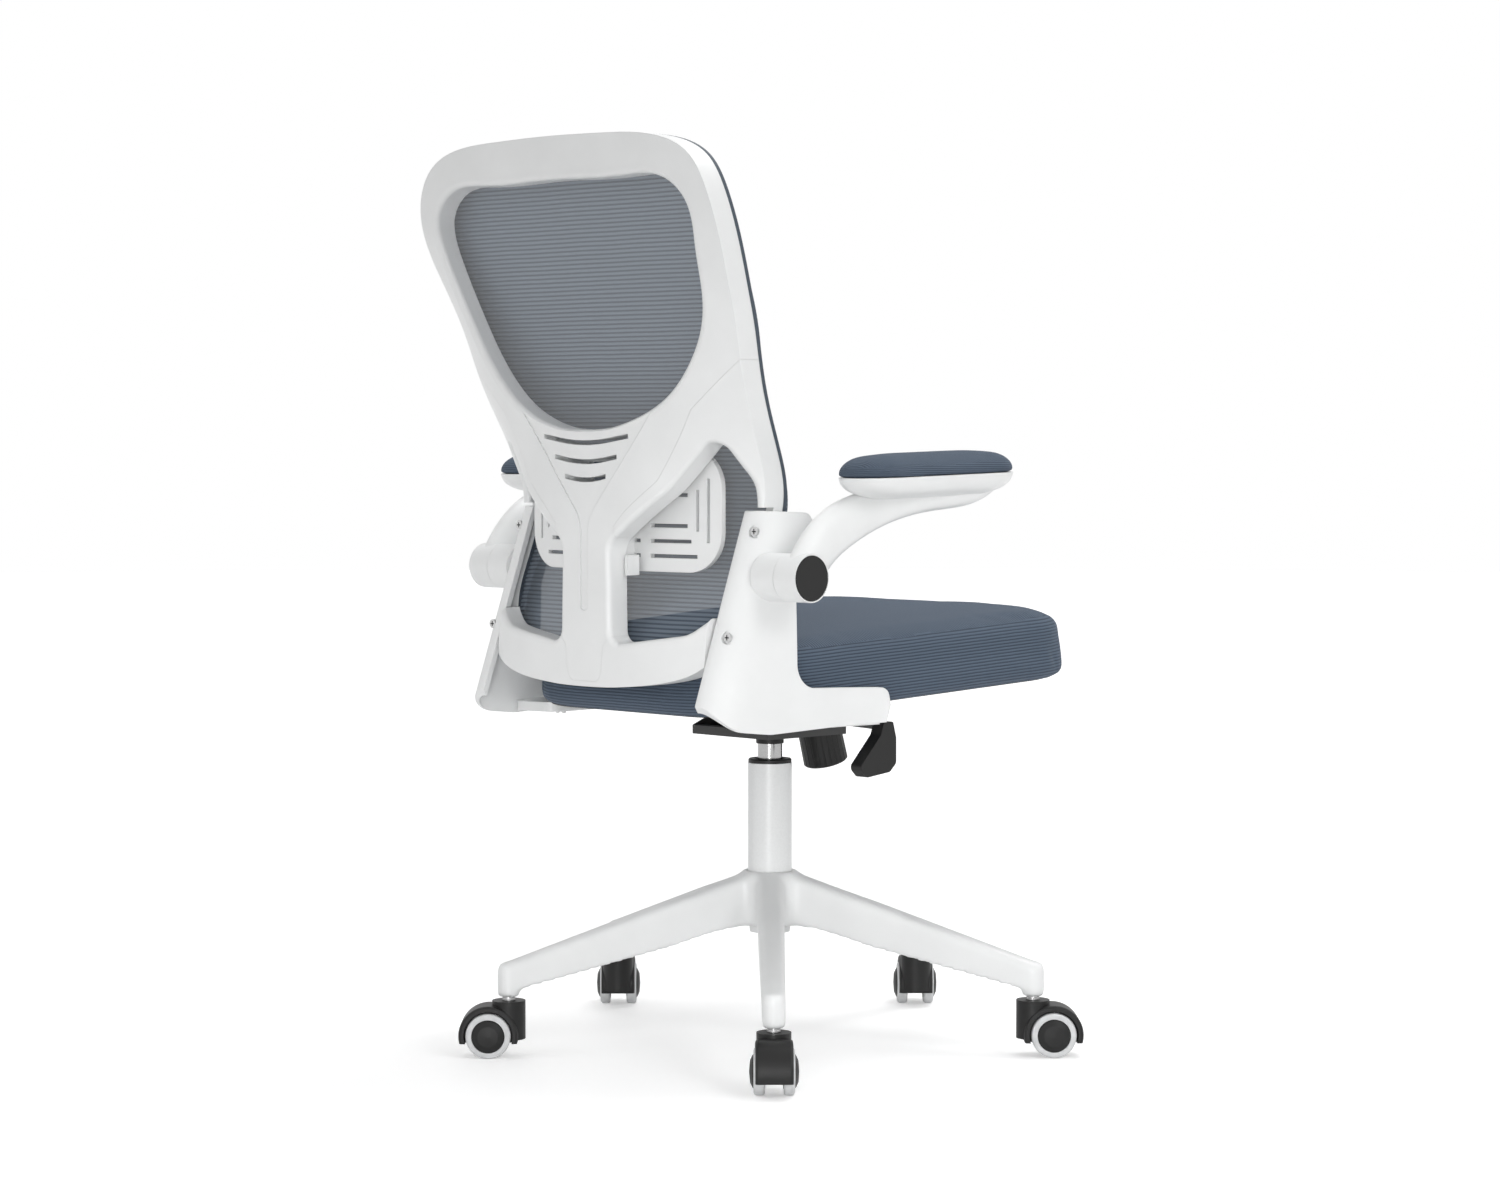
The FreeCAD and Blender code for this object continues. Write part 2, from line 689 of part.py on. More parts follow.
def make_housing():
    body = new_body("mech_housing_body")
    side = body_sketch(body, "housing_side", "YZ_Plane")
    polygon(side, [
        ("dims.pivot_y - 22", "dims.housing_floor"),
        ("62", "dims.housing_floor"),
        ("62", "dims.housing_floor + 10"),
        ("24", "dims.pivot_z + 3"),
        ("dims.lever_y", "dims.pivot_z + 8"),
        ("dims.pivot_y - 6", "dims.pivot_z + 14"),
        ("-112", "dims.housing_step + 10"),
        ("-112", "dims.housing_step"),
        ("dims.pivot_y - 22", "dims.housing_step"),
    ])
    padded(body, "housing_mass", side, "2 * dims.housing_half_width", True)
    inside = body_sketch(body, "housing_inside", "YZ_Plane")
    polygon(inside, [
        ("dims.pivot_y - 22 + dims.sheet_gauge", "dims.housing_floor + dims.sheet_gauge"),
        ("62 - dims.sheet_gauge", "dims.housing_floor + dims.sheet_gauge"),
        ("62 - dims.sheet_gauge", "dims.housing_step + 30"),
        ("-112 + dims.sheet_gauge", "dims.housing_step + 30"),
        ("-112 + dims.sheet_gauge", "dims.housing_step + dims.sheet_gauge"),
        ("dims.pivot_y - 22 + dims.sheet_gauge", "dims.housing_step + dims.sheet_gauge"),
    ])
    pocketed(body, "housing_hollow", inside, "2 * (dims.housing_half_width - dims.sheet_gauge)", True)
    socket = body_sketch(body, "socket_section", "XZ_Plane")
    polygon(socket, [
        ("dims.cylinder_radius + 0.02", "dims.ring_top + 0.6"),
        ("dims.socket_radius", "dims.ring_top + 0.6"),
        ("dims.socket_radius", "dims.cylinder_top - 4"),
        ("dims.cone_radius + 0.15", "dims.cylinder_top - 4"),
    ])
    turn = body.newObject("PartDesign::Revolution", "cone_socket")
    turn.Profile = socket
    turn.ReferenceAxis = (socket, ["V_Axis"])
    turn.Angle = 360
    bore = body_sketch(body, "cone_bore_section", "XZ_Plane")
    polygon(bore, [
        ("0", "dims.housing_floor - 5"),
        ("dims.cylinder_radius + 0.02", "dims.housing_floor - 5"),
        ("dims.cylinder_radius + 0.02", "dims.ring_top + 0.6"),
        ("dims.cone_radius + 0.15", "dims.cylinder_top - 4"),
        ("dims.cone_radius + 0.15", "dims.cylinder_top + 4"),
        ("0", "dims.cylinder_top + 4"),
    ])
    groove = body.newObject("PartDesign::Groove", "cone_bore")
    groove.Profile = bore
    groove.ReferenceAxis = (bore, ["V_Axis"])
    groove.Angle = 360
    axle_hole = body_sketch(body, "axle_hole_side", "YZ_Plane")
    circle(axle_hole, "dims.pivot_y", "dims.pivot_z", "dims.pivot_radius + 0.02")
    pocketed(body, "axle_hole", axle_hole, "2 * dims.housing_half_width + 10", True)
    window = body_sketch(body, "lever_window_side", "YZ_Plane", "-dims.housing_half_width - 2")
    polygon(window, [
        ("dims.lever_y - 9", "dims.pivot_z - 8.5"),
        ("dims.lever_y + 9", "dims.pivot_z - 8.5"),
        ("dims.lever_y + 9", "dims.pivot_z + 12"),
        ("dims.lever_y - 9", "dims.pivot_z + 12"),
    ])
    pocketed(body, "lever_window", window, "dims.sheet_gauge + 4", False, True)
    slot = body_sketch(body, "bolt_slot_plan", "XY_Plane", "dims.housing_step - 2")
    polygon(slot, [("-7", "-88"), ("7", "-88"), ("7", "-62"), ("-7", "-62")])
    pocketed(body, "bolt_slot", slot, "dims.sheet_gauge + 4", False, True)
    seat = body_sketch(body, "spring_seat_plan", "XY_Plane")
    seat.AttachmentOffset = bolt_frame(61)
    circle(seat, "0", "0", "dims.spring_radius + 3")
    circle(seat, "0", "0", "dims.bolt_radius + 3")
    body.Tip = padded(body, "spring_seat", seat, "8")
    return keep(body, "mech_housing")


def bolt_frame(distance=0):
    """A place on the leaning tension bolt, with Z along it, at a distance up from its foot."""
    lean = Rotation(X_AXIS, -dim("bolt_lean"))
    foot = Vector(0, dim("bolt_foot_y"), dim("bolt_foot_z"))
    return Placement(foot + lean.multVec(Z_AXIS) * distance, lean)


def make_tension():
    bolt_length = 88
    bolt = cylinder("bolt", "dims.bolt_radius", str(bolt_length), Vector(0, 0, 0))
    bolt.Placement = bolt_frame(4.3)
    head = cylinder("bolt_head", "dims.bolt_radius + 4", "3.5", Vector(0, 0, 0))
    head.Placement = bolt_frame(0.5)
    keep(fused("bolt_whole", [bolt, head]), "tension_bolt")

    knob = turned("knob", [
        ("dims.bolt_radius + 0.05", "4.3"),
        ("dims.bolt_radius + 6", "4.3"),
        ("dims.bolt_radius + 6", "0"),
        ("dims.knob_radius - 1.5", "0"),
        ("dims.knob_radius", "1.5"),
        ("dims.knob_radius - 0.5", "dims.knob_height"),
        ("dims.knob_radius - dims.knob_wall", "dims.knob_height"),
        ("dims.knob_radius - dims.knob_wall", "9"),
        ("dims.bolt_radius + 0.05", "9"),
    ])
    flute = cylinder("knob_flute", "1.1", "dims.knob_height + 4", Vector(dim("knob_radius") + 0.3, 0, -2))
    count = int(dim("knob_ribs"))
    flutes = [group(f"flute_{i}", [flute], Placement(Vector(), Rotation(Z_AXIS, 360 * i / count)))
              for i in range(count)]
    shaped = cut("knob_whole", knob, flutes)
    shaped.Placement = bolt_frame()
    keep(shaped, "tension_knob")

    coil = turned("coil", [
        ("dims.spring_radius - dims.spring_wire", "0"),
        ("dims.spring_radius + dims.spring_wire", "0"),
        ("dims.spring_radius + dims.spring_wire", "dims.spring_length"),
        ("dims.spring_radius - dims.spring_wire", "dims.spring_length"),
    ])
    coil.Placement = bolt_frame(9.3)
    keep(coil, "tension_spring")

    axle_half = dim("housing_half_width") + 5
    keep(cylinder("pivot", "dims.pivot_radius", str(2 * axle_half),
                  Vector(-axle_half, dim("pivot_y"), dim("pivot_z")), X_AXIS), "tilt_axle")


def lever_height(x):
    """Height of the lever rod's middle at a place across the chair."""
    inner = dim("pin_top") + dim("lever_play") + dim("lever_radius")
    return inner + (dim("lever_end_z") - inner) * x / dim("lever_end_x")


def make_lever():
    y = dim("lever_y")
    inner = Vector(14, y, lever_height(14))
    outer = Vector(dim("lever_end_x"), y, lever_height(dim("lever_end_x")))
    pivot_x = dim("lever_pivot_x")
    rod = cylinder("rod", "dims.lever_radius", str((outer - inner).Length), inner, outer - inner)
    thumb = box("rod_thumb", (-4.5, -5, lever_height(0) - 4), (16.5, y, lever_height(0) + 2))
    pin_hole = cylinder("rod_hole", "2.05", "30", Vector(pivot_x, y - 15, lever_height(pivot_x)), Y_AXIS)
    keep(cut("rod_drilled", fused("rod_mass", [rod, thumb]), [pin_hole]), "lever_rod")

    fork_low = dim("pivot_z") - 8
    fork_high = dim("pivot_z") + 7
    block = box("fork_block", (pivot_x - 12, y - 8.5, fork_low), (pivot_x + 12, y + 8.5, fork_high))
    gap = box("fork_gap", (pivot_x - 14, y - 4.5, fork_low + 2.2), (pivot_x + 14, y + 4.5, fork_high + 2))
    pin = cylinder("fork_pin", "2", "15", Vector(pivot_x, y - 7.5, lever_height(pivot_x)), Y_AXIS)
    keep(fused("fork", [cut("fork_cut", block, [gap]), pin]), "lock_slider")

    paddle = loose_sketch("paddle_side", Placement(Vector(0, 0, 0), yz_turn()))
    end_x, end_z = dim("lever_end_x"), dim("lever_end_z")
    rounded_chain(paddle, [
        (y - 7, end_z + 6, 3), (y + 7, end_z + 6, 3), (y + 12, end_z - 8, 4), (y + 45, end_z - 42, 6),
        (y + 34, end_z - 53, 5), (y - 2, end_z - 49, 5), (y - 12, end_z - 40, 6), (y - 12, end_z - 12, 4),
    ])
    plate = extruded("paddle_plate", paddle, X_AXIS, end_x + 8, 8 - end_x)
    reach = outer - inner
    socket = cylinder("paddle_bore", "dims.lever_radius + 0.02", str(reach.Length), inner, reach)
    keep(cut("paddle_whole", plate, [socket]), "lever_paddle")


# Seat

def seat_frame(y=0.0, height=0.0):
    """The seat's own leaning frame, with its front raised."""
    lean = Rotation(X_AXIS, -dim("seat_tilt"))
    return Placement(Vector(0, 0, dim("seat_height")) + lean.multVec(Vector(0, y, height)), lean)


def seat_outline(inset):
    front, rear = dim("seat_front") + inset, dim("seat_rear") - inset
    wide, narrow = dim("seat_front_half") - inset, dim("seat_rear_half") - inset
    front_corner, rear_corner = dim("seat_front_corner") - inset, dim("seat_rear_corner") - inset
    return [(-wide, front, front_corner), (wide, front, front_corner),
            (narrow, rear, rear_corner), (-narrow, rear, rear_corner)]


def make_seat():
    plan = loose_sketch("cushion_plan")
    rounded_chain(plan, seat_outline(0))
    slab = extruded("cushion_slab", plan, Z_AXIS, dim("cushion_thick"))

    def at_height(height):
        return lambda edge: all(abs(vertex.Z - height) < 0.01 for vertex in edge.Vertexes)

    top = rounded_edges("cushion_top", slab, dim("cushion_crown"), at_height(dim("cushion_thick")))
    soft = rounded_edges("cushion_soft", top, dim("cushion_under"), at_height(0))
    pan_plan = loose_sketch("pan_plan")
    rounded_chain(pan_plan, seat_outline(dim("pan_inset")))
    room = extruded("pan_room", pan_plan, Z_AXIS, dim("pan_thick"))
    cushion = cut("cushion_whole", soft, [room])
    cushion.Placement = seat_frame()
    keep(cushion, "seat_cushion")
    pan = extruded("pan_whole", pan_plan, Z_AXIS, dim("pan_thick"))
    pan.Placement = seat_frame()
    keep(pan, "seat_pan")


def make_seat_plate():
    gauge = dim("sheet_gauge")
    half = dim("plate_half_width")
    rear, front = dim("plate_rear"), dim("plate_front")
    plan = loose_sketch("plate_plan")
    rounded_chain(plan, [(-half, front, 18), (half, front, 18), (half, rear, 18), (-half, rear, 18)])
    flat = extruded("plate_flat", plan, Z_AXIS, 0, gauge)
    flat.Placement = seat_frame()
    ear_x = dim("housing_half_width") - gauge - 1
    ears = []
    for side in (-1, 1):
        low_x = side * ear_x - (gauge if side > 0 else 0)
        ear_side = loose_sketch(f"ear_side_{side + 1}", Placement(Vector(low_x, 0, 0), yz_turn()))
        py, pz = dim("pivot_y"), dim("pivot_z")
        rounded_chain(ear_side, [(py - 9, pz - 10, 7), (py + 9, pz - 10, 7), (py + 16, pz + 26, 0),
                                 (py - 16, pz + 26, 0)])
        ears.append(extruded(f"ear_{side + 1}", ear_side, X_AXIS, gauge))
    hole = cylinder("ear_hole", "dims.pivot_radius + 0.05", str(4 * ear_x),
                    Vector(-2 * ear_x, dim("pivot_y"), dim("pivot_z")), X_AXIS)
    keep(cut("plate_whole", fused("plate_mass", [flat] + ears), [hole]), "seat_plate")

    bolts = []
    for index, (x, y) in enumerate([(-82, -90), (82, -90), (-82, 86), (82, 86)]):
        head = cylinder(f"seat_bolt_{index}", "5.5", "4", Vector(0, 0, 0))
        head.Placement = seat_frame(y, -gauge - 4).multiply(Placement(Vector(x, 0, 0), Rotation()))
        bolts.append(head)
    keep(group("seat_bolt_set", bolts), "seat_bolts")


def yz_turn():
    """Turns a sketch's X to the chair's Y, and its Y to the chair's Z."""
    return Rotation(Y_AXIS, Z_AXIS, X_AXIS, "ZXY")


# Back

def smooth_step(value):
    value = min(max(value, 0.0), 1.0)
    return value * value * (3 - 2 * value)


def crown(z):
    """Depth of the back's rear face on the centre line."""
    return dim("spine_y") + dim("crown_rise") * smooth_step(
        (z - dim("crown_low")) / (dim("crown_high") - dim("crown_low")))


def drop(z):
    """How far the rear face has come forward 200 mm out from the centre line."""
    upper = (dim("drop_side") - dim("drop_top")) * (1 - smooth_step((z - 780) / 190))
    lumbar = dim("drop_lumbar") * math.exp(-((z - dim("lumbar_height")) / dim("lumbar_spread")) ** 2)
    return dim("drop_top") + upper + lumbar


def rear_y(x, z):
    return crown(z) - drop(z) * abs(x / 200) ** 3


LOOP_OUTLINE = [(0, 1004), (90, 1002.5), (160, 997), (212, 974), (234, 925), (226, 840), (214, 760), (202, 680),
                (195, 610), (192.5, 540), (188, 488), (171, 449), (125, 428), (60, 420), (0, 418)]
WINDOW_OUTLINE = [(0, 958), (110, 957), (175, 951), (201, 925), (200, 880), (193, 840), (179, 797), (153, 757),
                  (113, 722), (58, 700), (0, 694)]


def half_width(z):
    """Half the width of the back loop at a height, near enough for the mesh stretched across it."""
    return 198 + 36 * smooth_step((z - 620) / 310)


def surface(y_at, xs, zs):
    rows = [[Vector(x, y_at(x, z), z) for z in zs] for x in xs]
    patch = Part.BSplineSurface()
    patch.interpolate(rows)
    return patch.toShape()


def steps(low, high, count):
    return [low + (high - low) * i / (count - 1) for i in range(count)]


def curved_slab(name, y_at, depth, offset=0.0, rows=15):
    """A slab of even depth in front of a curved face, the one shape here that no feature makes."""
    face = surface(lambda x, z: y_at(x, z) - offset, steps(-250, 250, 11), steps(400, 1022, rows))
    slab = doc.addObject("Part::Feature", name)
    slab.Shape = face.extrude(Vector(0, -depth, 0))
    return slab


def rear_sketch(name):
    """A sketch seen from the chair's side view plane XZ, lying on the centre of depth."""
    return loose_sketch(name, Placement(Vector(0, 0, 0), Rotation(X_AXIS, 90)))


def through(name, sketch):
    return extruded(name, sketch, Y_AXIS, 500, 0)


def scaled_outline(outline, margin):
    """The outline drawn in by a margin towards the middle of the back."""
    middle = (outline[0][1] + outline[-1][1]) / 2
    reach = max(x for x, _ in outline)
    rise = (outline[0][1] - outline[-1][1]) / 2
    return [(x * (1 - margin / reach), middle + (z - middle) * (1 - margin / rise)) for x, z in outline]


def lower_opening(side):
    return [(side * x, z, r) for x, z, r in [
        (168, 690, 10), (184, 640, 60), (184, 580, 90), (171, 497, 26), (145, 478, 40), (40, 464, 14),
        (38, 572, 22), (113, 628, 90)]]


def spine_region():
    """Outline of the upper frame: everything above the seams, and the spine down to its foot."""
    right = [(300, 1050, 0), (300, 836, 0), (152, 715, 0), (104, 640, 0), (62, 607, 0), (47, 592, 0),
             (47, 480, 0), (30, 462, 0), (28, 440, 0), (24, 424, 10)]
    return right + [(-x, z, r) for x, z, r in reversed(right)]


def web_outline():
    """The shallow hollow between the arms of the Y, narrowing to a groove down the spine."""
    right = [(140, 755, 0), (6, 598, 40), (6, 500, 5)]
    return right + [(-x, z, r) for x, z, r in reversed(right)]


def make_back():
    slab = curved_slab("back_slab", rear_y, dim("frame_depth"))
    outer = rear_sketch("loop_outline")
    mirrored_outline(outer, LOOP_OUTLINE)
    window = rear_sketch("window_outline")
    mirrored_outline(window, WINDOW_OUTLINE)
    tools = [through("window", window)]
    for side in (-1, 1):
        opening = rear_sketch(f"opening_{side + 1}")
        rounded_chain(opening, lower_opening(side))
        tools.append(through(f"lower_opening_{side + 1}", opening))
    loop = cut("loop_open", common("loop_solid", [slab, through("loop_block", outer)]), tools)

    def on_rear(edge):
        samples = steps(edge.FirstParameter, edge.LastParameter, 5)
        places = [edge.valueAt(value) for value in samples]
        return all(abs(place.y - rear_y(place.x, place.z)) < 0.6 for place in places)

    soft = rounded_edges("loop_soft", loop, dim("frame_edge"), on_rear)

    slots = []
    for half, z, sag in ((68, 687, 10), (50, 665, 8), (33, 644, 6)):
        bend = 4 * half
        vent = rear_sketch(f"vent_{half}")
        top, bottom = z + 2.5, z - 2.5
        rounded_chain(vent, [(-half, top, 0), (0, top - sag, bend), (half, top, 0),
                             (half, bottom, 0), (0, bottom - sag, bend), (-half, bottom, 0)])
        slots.append(through(f"vent_slot_{half}", vent))

    web = rear_sketch("web_outline")
    rounded_chain(web, web_outline())
    skin = curved_slab("web_skin", rear_y, dim("web_recess") + 10, -10)
    slots.append(common("web_hollow", [skin, through("web_block", web)]))

    region = rear_sketch("spine_outline")
    rounded_chain(region, spine_region())
    front = dim("spine_y") - dim("foot_depth")
    ahead_of_foot = box("ahead_of_foot", (-80, front - 60, 400), (80, front, 472))
    upper_tool = cut("upper_tool", through("spine_block", region), [ahead_of_foot])
    upper = common("upper_solid", [soft, upper_tool])
    keep(cut("upper_whole", upper, slots), "back_frame_upper")
    lower = cut("lower_loop", soft, [upper_tool])
    return lower, outer


def make_mesh(outer):
    depth = dim("frame_depth")
    edge = dim("carrier_depth")
    ring = curved_slab("carrier_slab", rear_y, edge, depth)
    inner = rear_sketch("carrier_inner")
    mirrored_outline(inner, scaled_outline(LOOP_OUTLINE, 13))
    band = common("carrier_band", [ring, through("carrier_block", outer)])
    keep(cut("carrier_whole", band, [through("carrier_hole", inner)]), "mesh_carrier")

    def mesh_y(x, z):
        width = half_width(z)
        pull = smooth_step((z - 456) / 64) * (1 - smooth_step((z - 920) / 75))
        flat = (width / 200) ** 3 + 0.2 * ((x / width) ** 2 - 1)
        free = abs(x / 200) ** 3
        return crown(z) - drop(z) * (pull * flat + (1 - pull) * free)

    sheet_slab = curved_slab("mesh_slab", mesh_y, dim("mesh_gauge"), depth + edge + 4, 27)
    rim = rear_sketch("mesh_outline")
    mirrored_outline(rim, scaled_outline(LOOP_OUTLINE, 4))
    keep(common("mesh_whole", [sheet_slab, through("mesh_block", rim)]), "back_mesh")


def slot(sketch, left, right, low, high):
    rounded_chain(sketch, [(left, low, 0), (right, low, 0), (right, high, 0), (left, high, 0)])


def make_lumbar():
    plan = loose_sketch("lumbar_plan", Placement(Vector(0, 0, 400), Rotation()))
    half, middle, bow, gauge = 152, 235, 16, 6
    near = Part.Arc(Vector(-half, middle - bow, 0), Vector(0, middle, 0), Vector(half, middle - bow, 0))
    far = Part.Arc(Vector(half, middle - bow - gauge, 0), Vector(0, middle - gauge, 0),
                   Vector(-half, middle - bow - gauge, 0))
    plan.addGeometry(near)
    plan.addGeometry(Part.LineSegment(Vector(half, middle - bow, 0), Vector(half, middle - bow - gauge, 0)))
    plan.addGeometry(far)
    plan.addGeometry(Part.LineSegment(Vector(-half, middle - bow - gauge, 0), Vector(-half, middle - bow, 0)))
    wall = extruded("lumbar_wall", plan, Z_AXIS, 400)
    face = rear_sketch("lumbar_face")
    low, high = 542, 674
    rounded_chain(face, [(-half, low, 42), (half, low, 42), (half, high, 42), (-half, high, 42)])
    centre, gap = (low + high) / 2, 4
    for rise, start, end in ((16.5, 56, 108), (33, 56, 113), (49, 56, 121), (33, 8, 41), (49, 8, 41)):
        for side in (-1, 1):
            for z in (centre - rise, centre + rise):
                slot(face, *sorted((side * start, side * end)), z - gap / 2, z + gap / 2)
    for x, reach in ((119, 22), (133, 34)):
        for side in (-1, 1):
            slot(face, *sorted((side * x, side * (x + gap))), centre - reach, centre + reach)
    pad = common("lumbar_pad_face", [wall, through("lumbar_block", face)])
    spine = dim("spine_half")
    front = dim("spine_y") - dim("frame_depth")
    carriage = box("lumbar_carriage", (-32, middle - 4, 548), (32, front - 1.6, 588))
    ears = [box(f"lumbar_ear_{side + 1}", (min(side * (spine + 3.5), side * (spine + 8)), front - 12, 538),
                (max(side * (spine + 3.5), side * (spine + 8)), front + 5, 560)) for side in (-1, 1)]
    bridge = box("lumbar_bridge", (-spine - 8, front - 12, 538), (spine + 8, front - 1.6, 560))
    keep(fused("lumbar_whole", [pad, carriage, bridge] + ears), "lumbar_pad")


# Side brackets and arms

def bracket_plan():
    """The bracket's wall in plan, outside then inside: round behind the back and forward along the seat."""
    y, wall = dim("flange_y"), dim("bracket_wall")
    outside = [(-172, y), (-186, y - 2), (-200, y - 16), (-208, y - 46), (-213, y - 110), (-231, y - 236)]
    inside = [(-172, y - wall), (-184, y - 2 - wall), (-196, y - 20), (-208 + wall, y - 46),
              (-213 + wall, y - 110), (-231 + wall, y - 236)]
    return outside, inside


def make_bracket():
    plan = loose_sketch("bracket_plan", Placement(Vector(0, 0, dim("flange_z")), Rotation()))
    outside, inside = bracket_plan()
    curve(plan, outside)
    curve(plan, inside)
    for a, b in ((outside[0], inside[0]), (outside[-1], inside[-1])):
        plan.addGeometry(Part.LineSegment(Vector(a[0], a[1], 0), Vector(b[0], b[1], 0)))
    rise = Vector(0, -dim("bracket_lean"), 1)
    band = extruded("bracket_band", plan, rise, 200, 120)

    low, high = dim("bracket_bottom"), dim("bracket_top")
    side = loose_sketch("bracket_side", Placement(Vector(-300, 0, 0), yz_turn()))
    rounded_chain(side, [(207, high, 10), (140, high - 3, 12), (143, 580, 20), (166, 520, 30), (166, 421, 26),
                         (44, 417, 9), (42, 380, 9), (205, low - 2, 60), (262, low + 4, 50), (296, 440, 0),
                         (262, 470, 0)])
    wall_part = common("bracket_wall_part", [band, extruded("bracket_block", side, X_AXIS, 150)])

    foot_plan = loose_sketch("bracket_foot_plan", Placement(Vector(0, 0, low + 1), Rotation()))
    rounded_chain(foot_plan, [(-222, 46, 6), (-150, 52, 14), (-150, 196, 14), (-204, 206, 8)])
    foot = extruded("bracket_foot", foot_plan, Z_AXIS, 30)
    seat_room = box("seat_room", (-400, -400, 0), (400, 400, 100))
    seat_room.Placement = seat_frame().multiply(Placement(Vector(-400, -400, -0.02), Rotation()))
    foot_cut = cut("bracket_foot_cut", foot, [seat_room])

    boss = cylinder("bracket_boss", "dims.arm_hub_radius", "dims.boss_inner_x - dims.arm_inner_x - 0.3",
                    Vector(dim("boss_inner_x"), dim("arm_pivot_y"), dim("arm_pivot_z")), Vector(-1, 0, 0))
    pivot_bore = cylinder("pivot_bore", "6.05", "70",
                          Vector(dim("boss_inner_x") - 5, dim("arm_pivot_y"), dim("arm_pivot_z")),
                          Vector(-1, 0, 0))
    recesses = [cylinder(f"screw_recess_{i}", "7", "30", Vector(-191, y, z), Y_AXIS)
                for i, (y, z) in enumerate(screw_places())]
    holes = [cylinder(f"screw_hole_{i}", "2.55", "30", Vector(-191, y - 15, z), Y_AXIS)
             for i, (y, z) in enumerate(screw_places())]
    whole = cut("bracket_whole", fused("bracket_mass", [wall_part, foot_cut, boss]),
                [pivot_bore] + recesses + holes)
    keep(whole, "bracket_right")
    keep(mirrored("bracket_mirror", whole), "bracket_left")
    return whole


def make_lower_frame(loop):
    """Cuts the loop's sides back behind the brackets' flanges."""
    lean = dim("bracket_lean")
    low, high = 425, dim("bracket_top") + 3
    ledge = dim("flange_y") - dim("bracket_wall") - dim("rebate_depth")
    face_low, face_high = (ledge - (z - dim("flange_z")) * lean for z in (low, high))
    rebate_side = loose_sketch("rebate_side", Placement(Vector(0, 0, 0), yz_turn()))
    rounded_chain(rebate_side, [(face_low, low, 0), (face_high, high, 0), (330, high, 0), (330, low, 0)])
    rebates = [extruded("rebate_right", rebate_side, X_AXIS, -168, 260),
               extruded("rebate_left", rebate_side, X_AXIS, 260, -168)]
    keep(cut("lower_whole", loop, rebates), "back_frame_lower")


def screw_places():
    """Depth and height of the two screw heads in the flange, just under its rear face."""
    lean = dim("bracket_lean")
    return [(dim("flange_y") - (z - dim("flange_z")) * lean - 5.5, z) for z in (587, 477)]


def make_screws():
    screws = []
    for index, (y, z) in enumerate(screw_places()):
        head = cylinder(f"screw_head_{index}", "5", "3", Vector(-191, y, z), Y_AXIS)
        shank = cylinder(f"screw_shank_{index}", "2.5", "14", Vector(-191, y - 14, z), Y_AXIS)
        screw = fused(f"screw_{index}", [head, shank])
        screws += [screw, mirrored(f"screw_mirror_{index}", screw)]
    keep(group("screw_set", screws), "back_screws")
    bolts = []
    for index, y in enumerate((80, 160)):
        bolt = cylinder(f"foot_bolt_{index}", "6", "4", Vector(-176, y, dim("bracket_bottom") - 3), Z_AXIS)
        bolts += [bolt, mirrored(f"foot_bolt_mirror_{index}", bolt)]
    keep(group("foot_bolt_set", bolts), "foot_bolts")


def stadium(sketch, length, width):
    """A long oval, a little narrower at its rear end."""
    half, front, rear = length / 2, width / 2, width * 0.46
    rounded_chain(sketch, [(-front, -half, front * 0.94), (front, -half, front * 0.94),
                           (rear, half, rear * 0.9), (-rear, half, rear * 0.9)])


def pad_frame(height=0.0):
    lean = Rotation(X_AXIS, -dim("pad_tilt"))
    return Placement(Vector(dim("pad_x"), dim("pad_y"), dim("pad_seam")) + lean.multVec(Z_AXIS) * height, lean)


def loft(name, sections, smooth=True):
    thing = doc.addObject("Part::Loft", name)
    thing.Sections = sections
    thing.Solid = True
    thing.Ruled = not smooth
    return thing


def arm_section(index, flare, y, z, angle, depth, breadth):
    """An oval across the arm, turned to face along it and set out from the hub by the flare."""
    turn = Rotation(X_AXIS, angle)
    hub_x = (dim("arm_inner_x") + dim("arm_outer_x")) / 2
    sketch = loose_sketch(f"arm_oval_{index}", Placement(Vector(hub_x - flare, y, z), turn))
    if depth >= breadth:
        sketch.addGeometry(Part.Ellipse(Vector(0, depth, 0), Vector(breadth, 0, 0), Vector(0, 0, 0)))
    else:
        sketch.addGeometry(Part.Ellipse(Vector(breadth, 0, 0), Vector(0, depth, 0), Vector(0, 0, 0)))
    return sketch


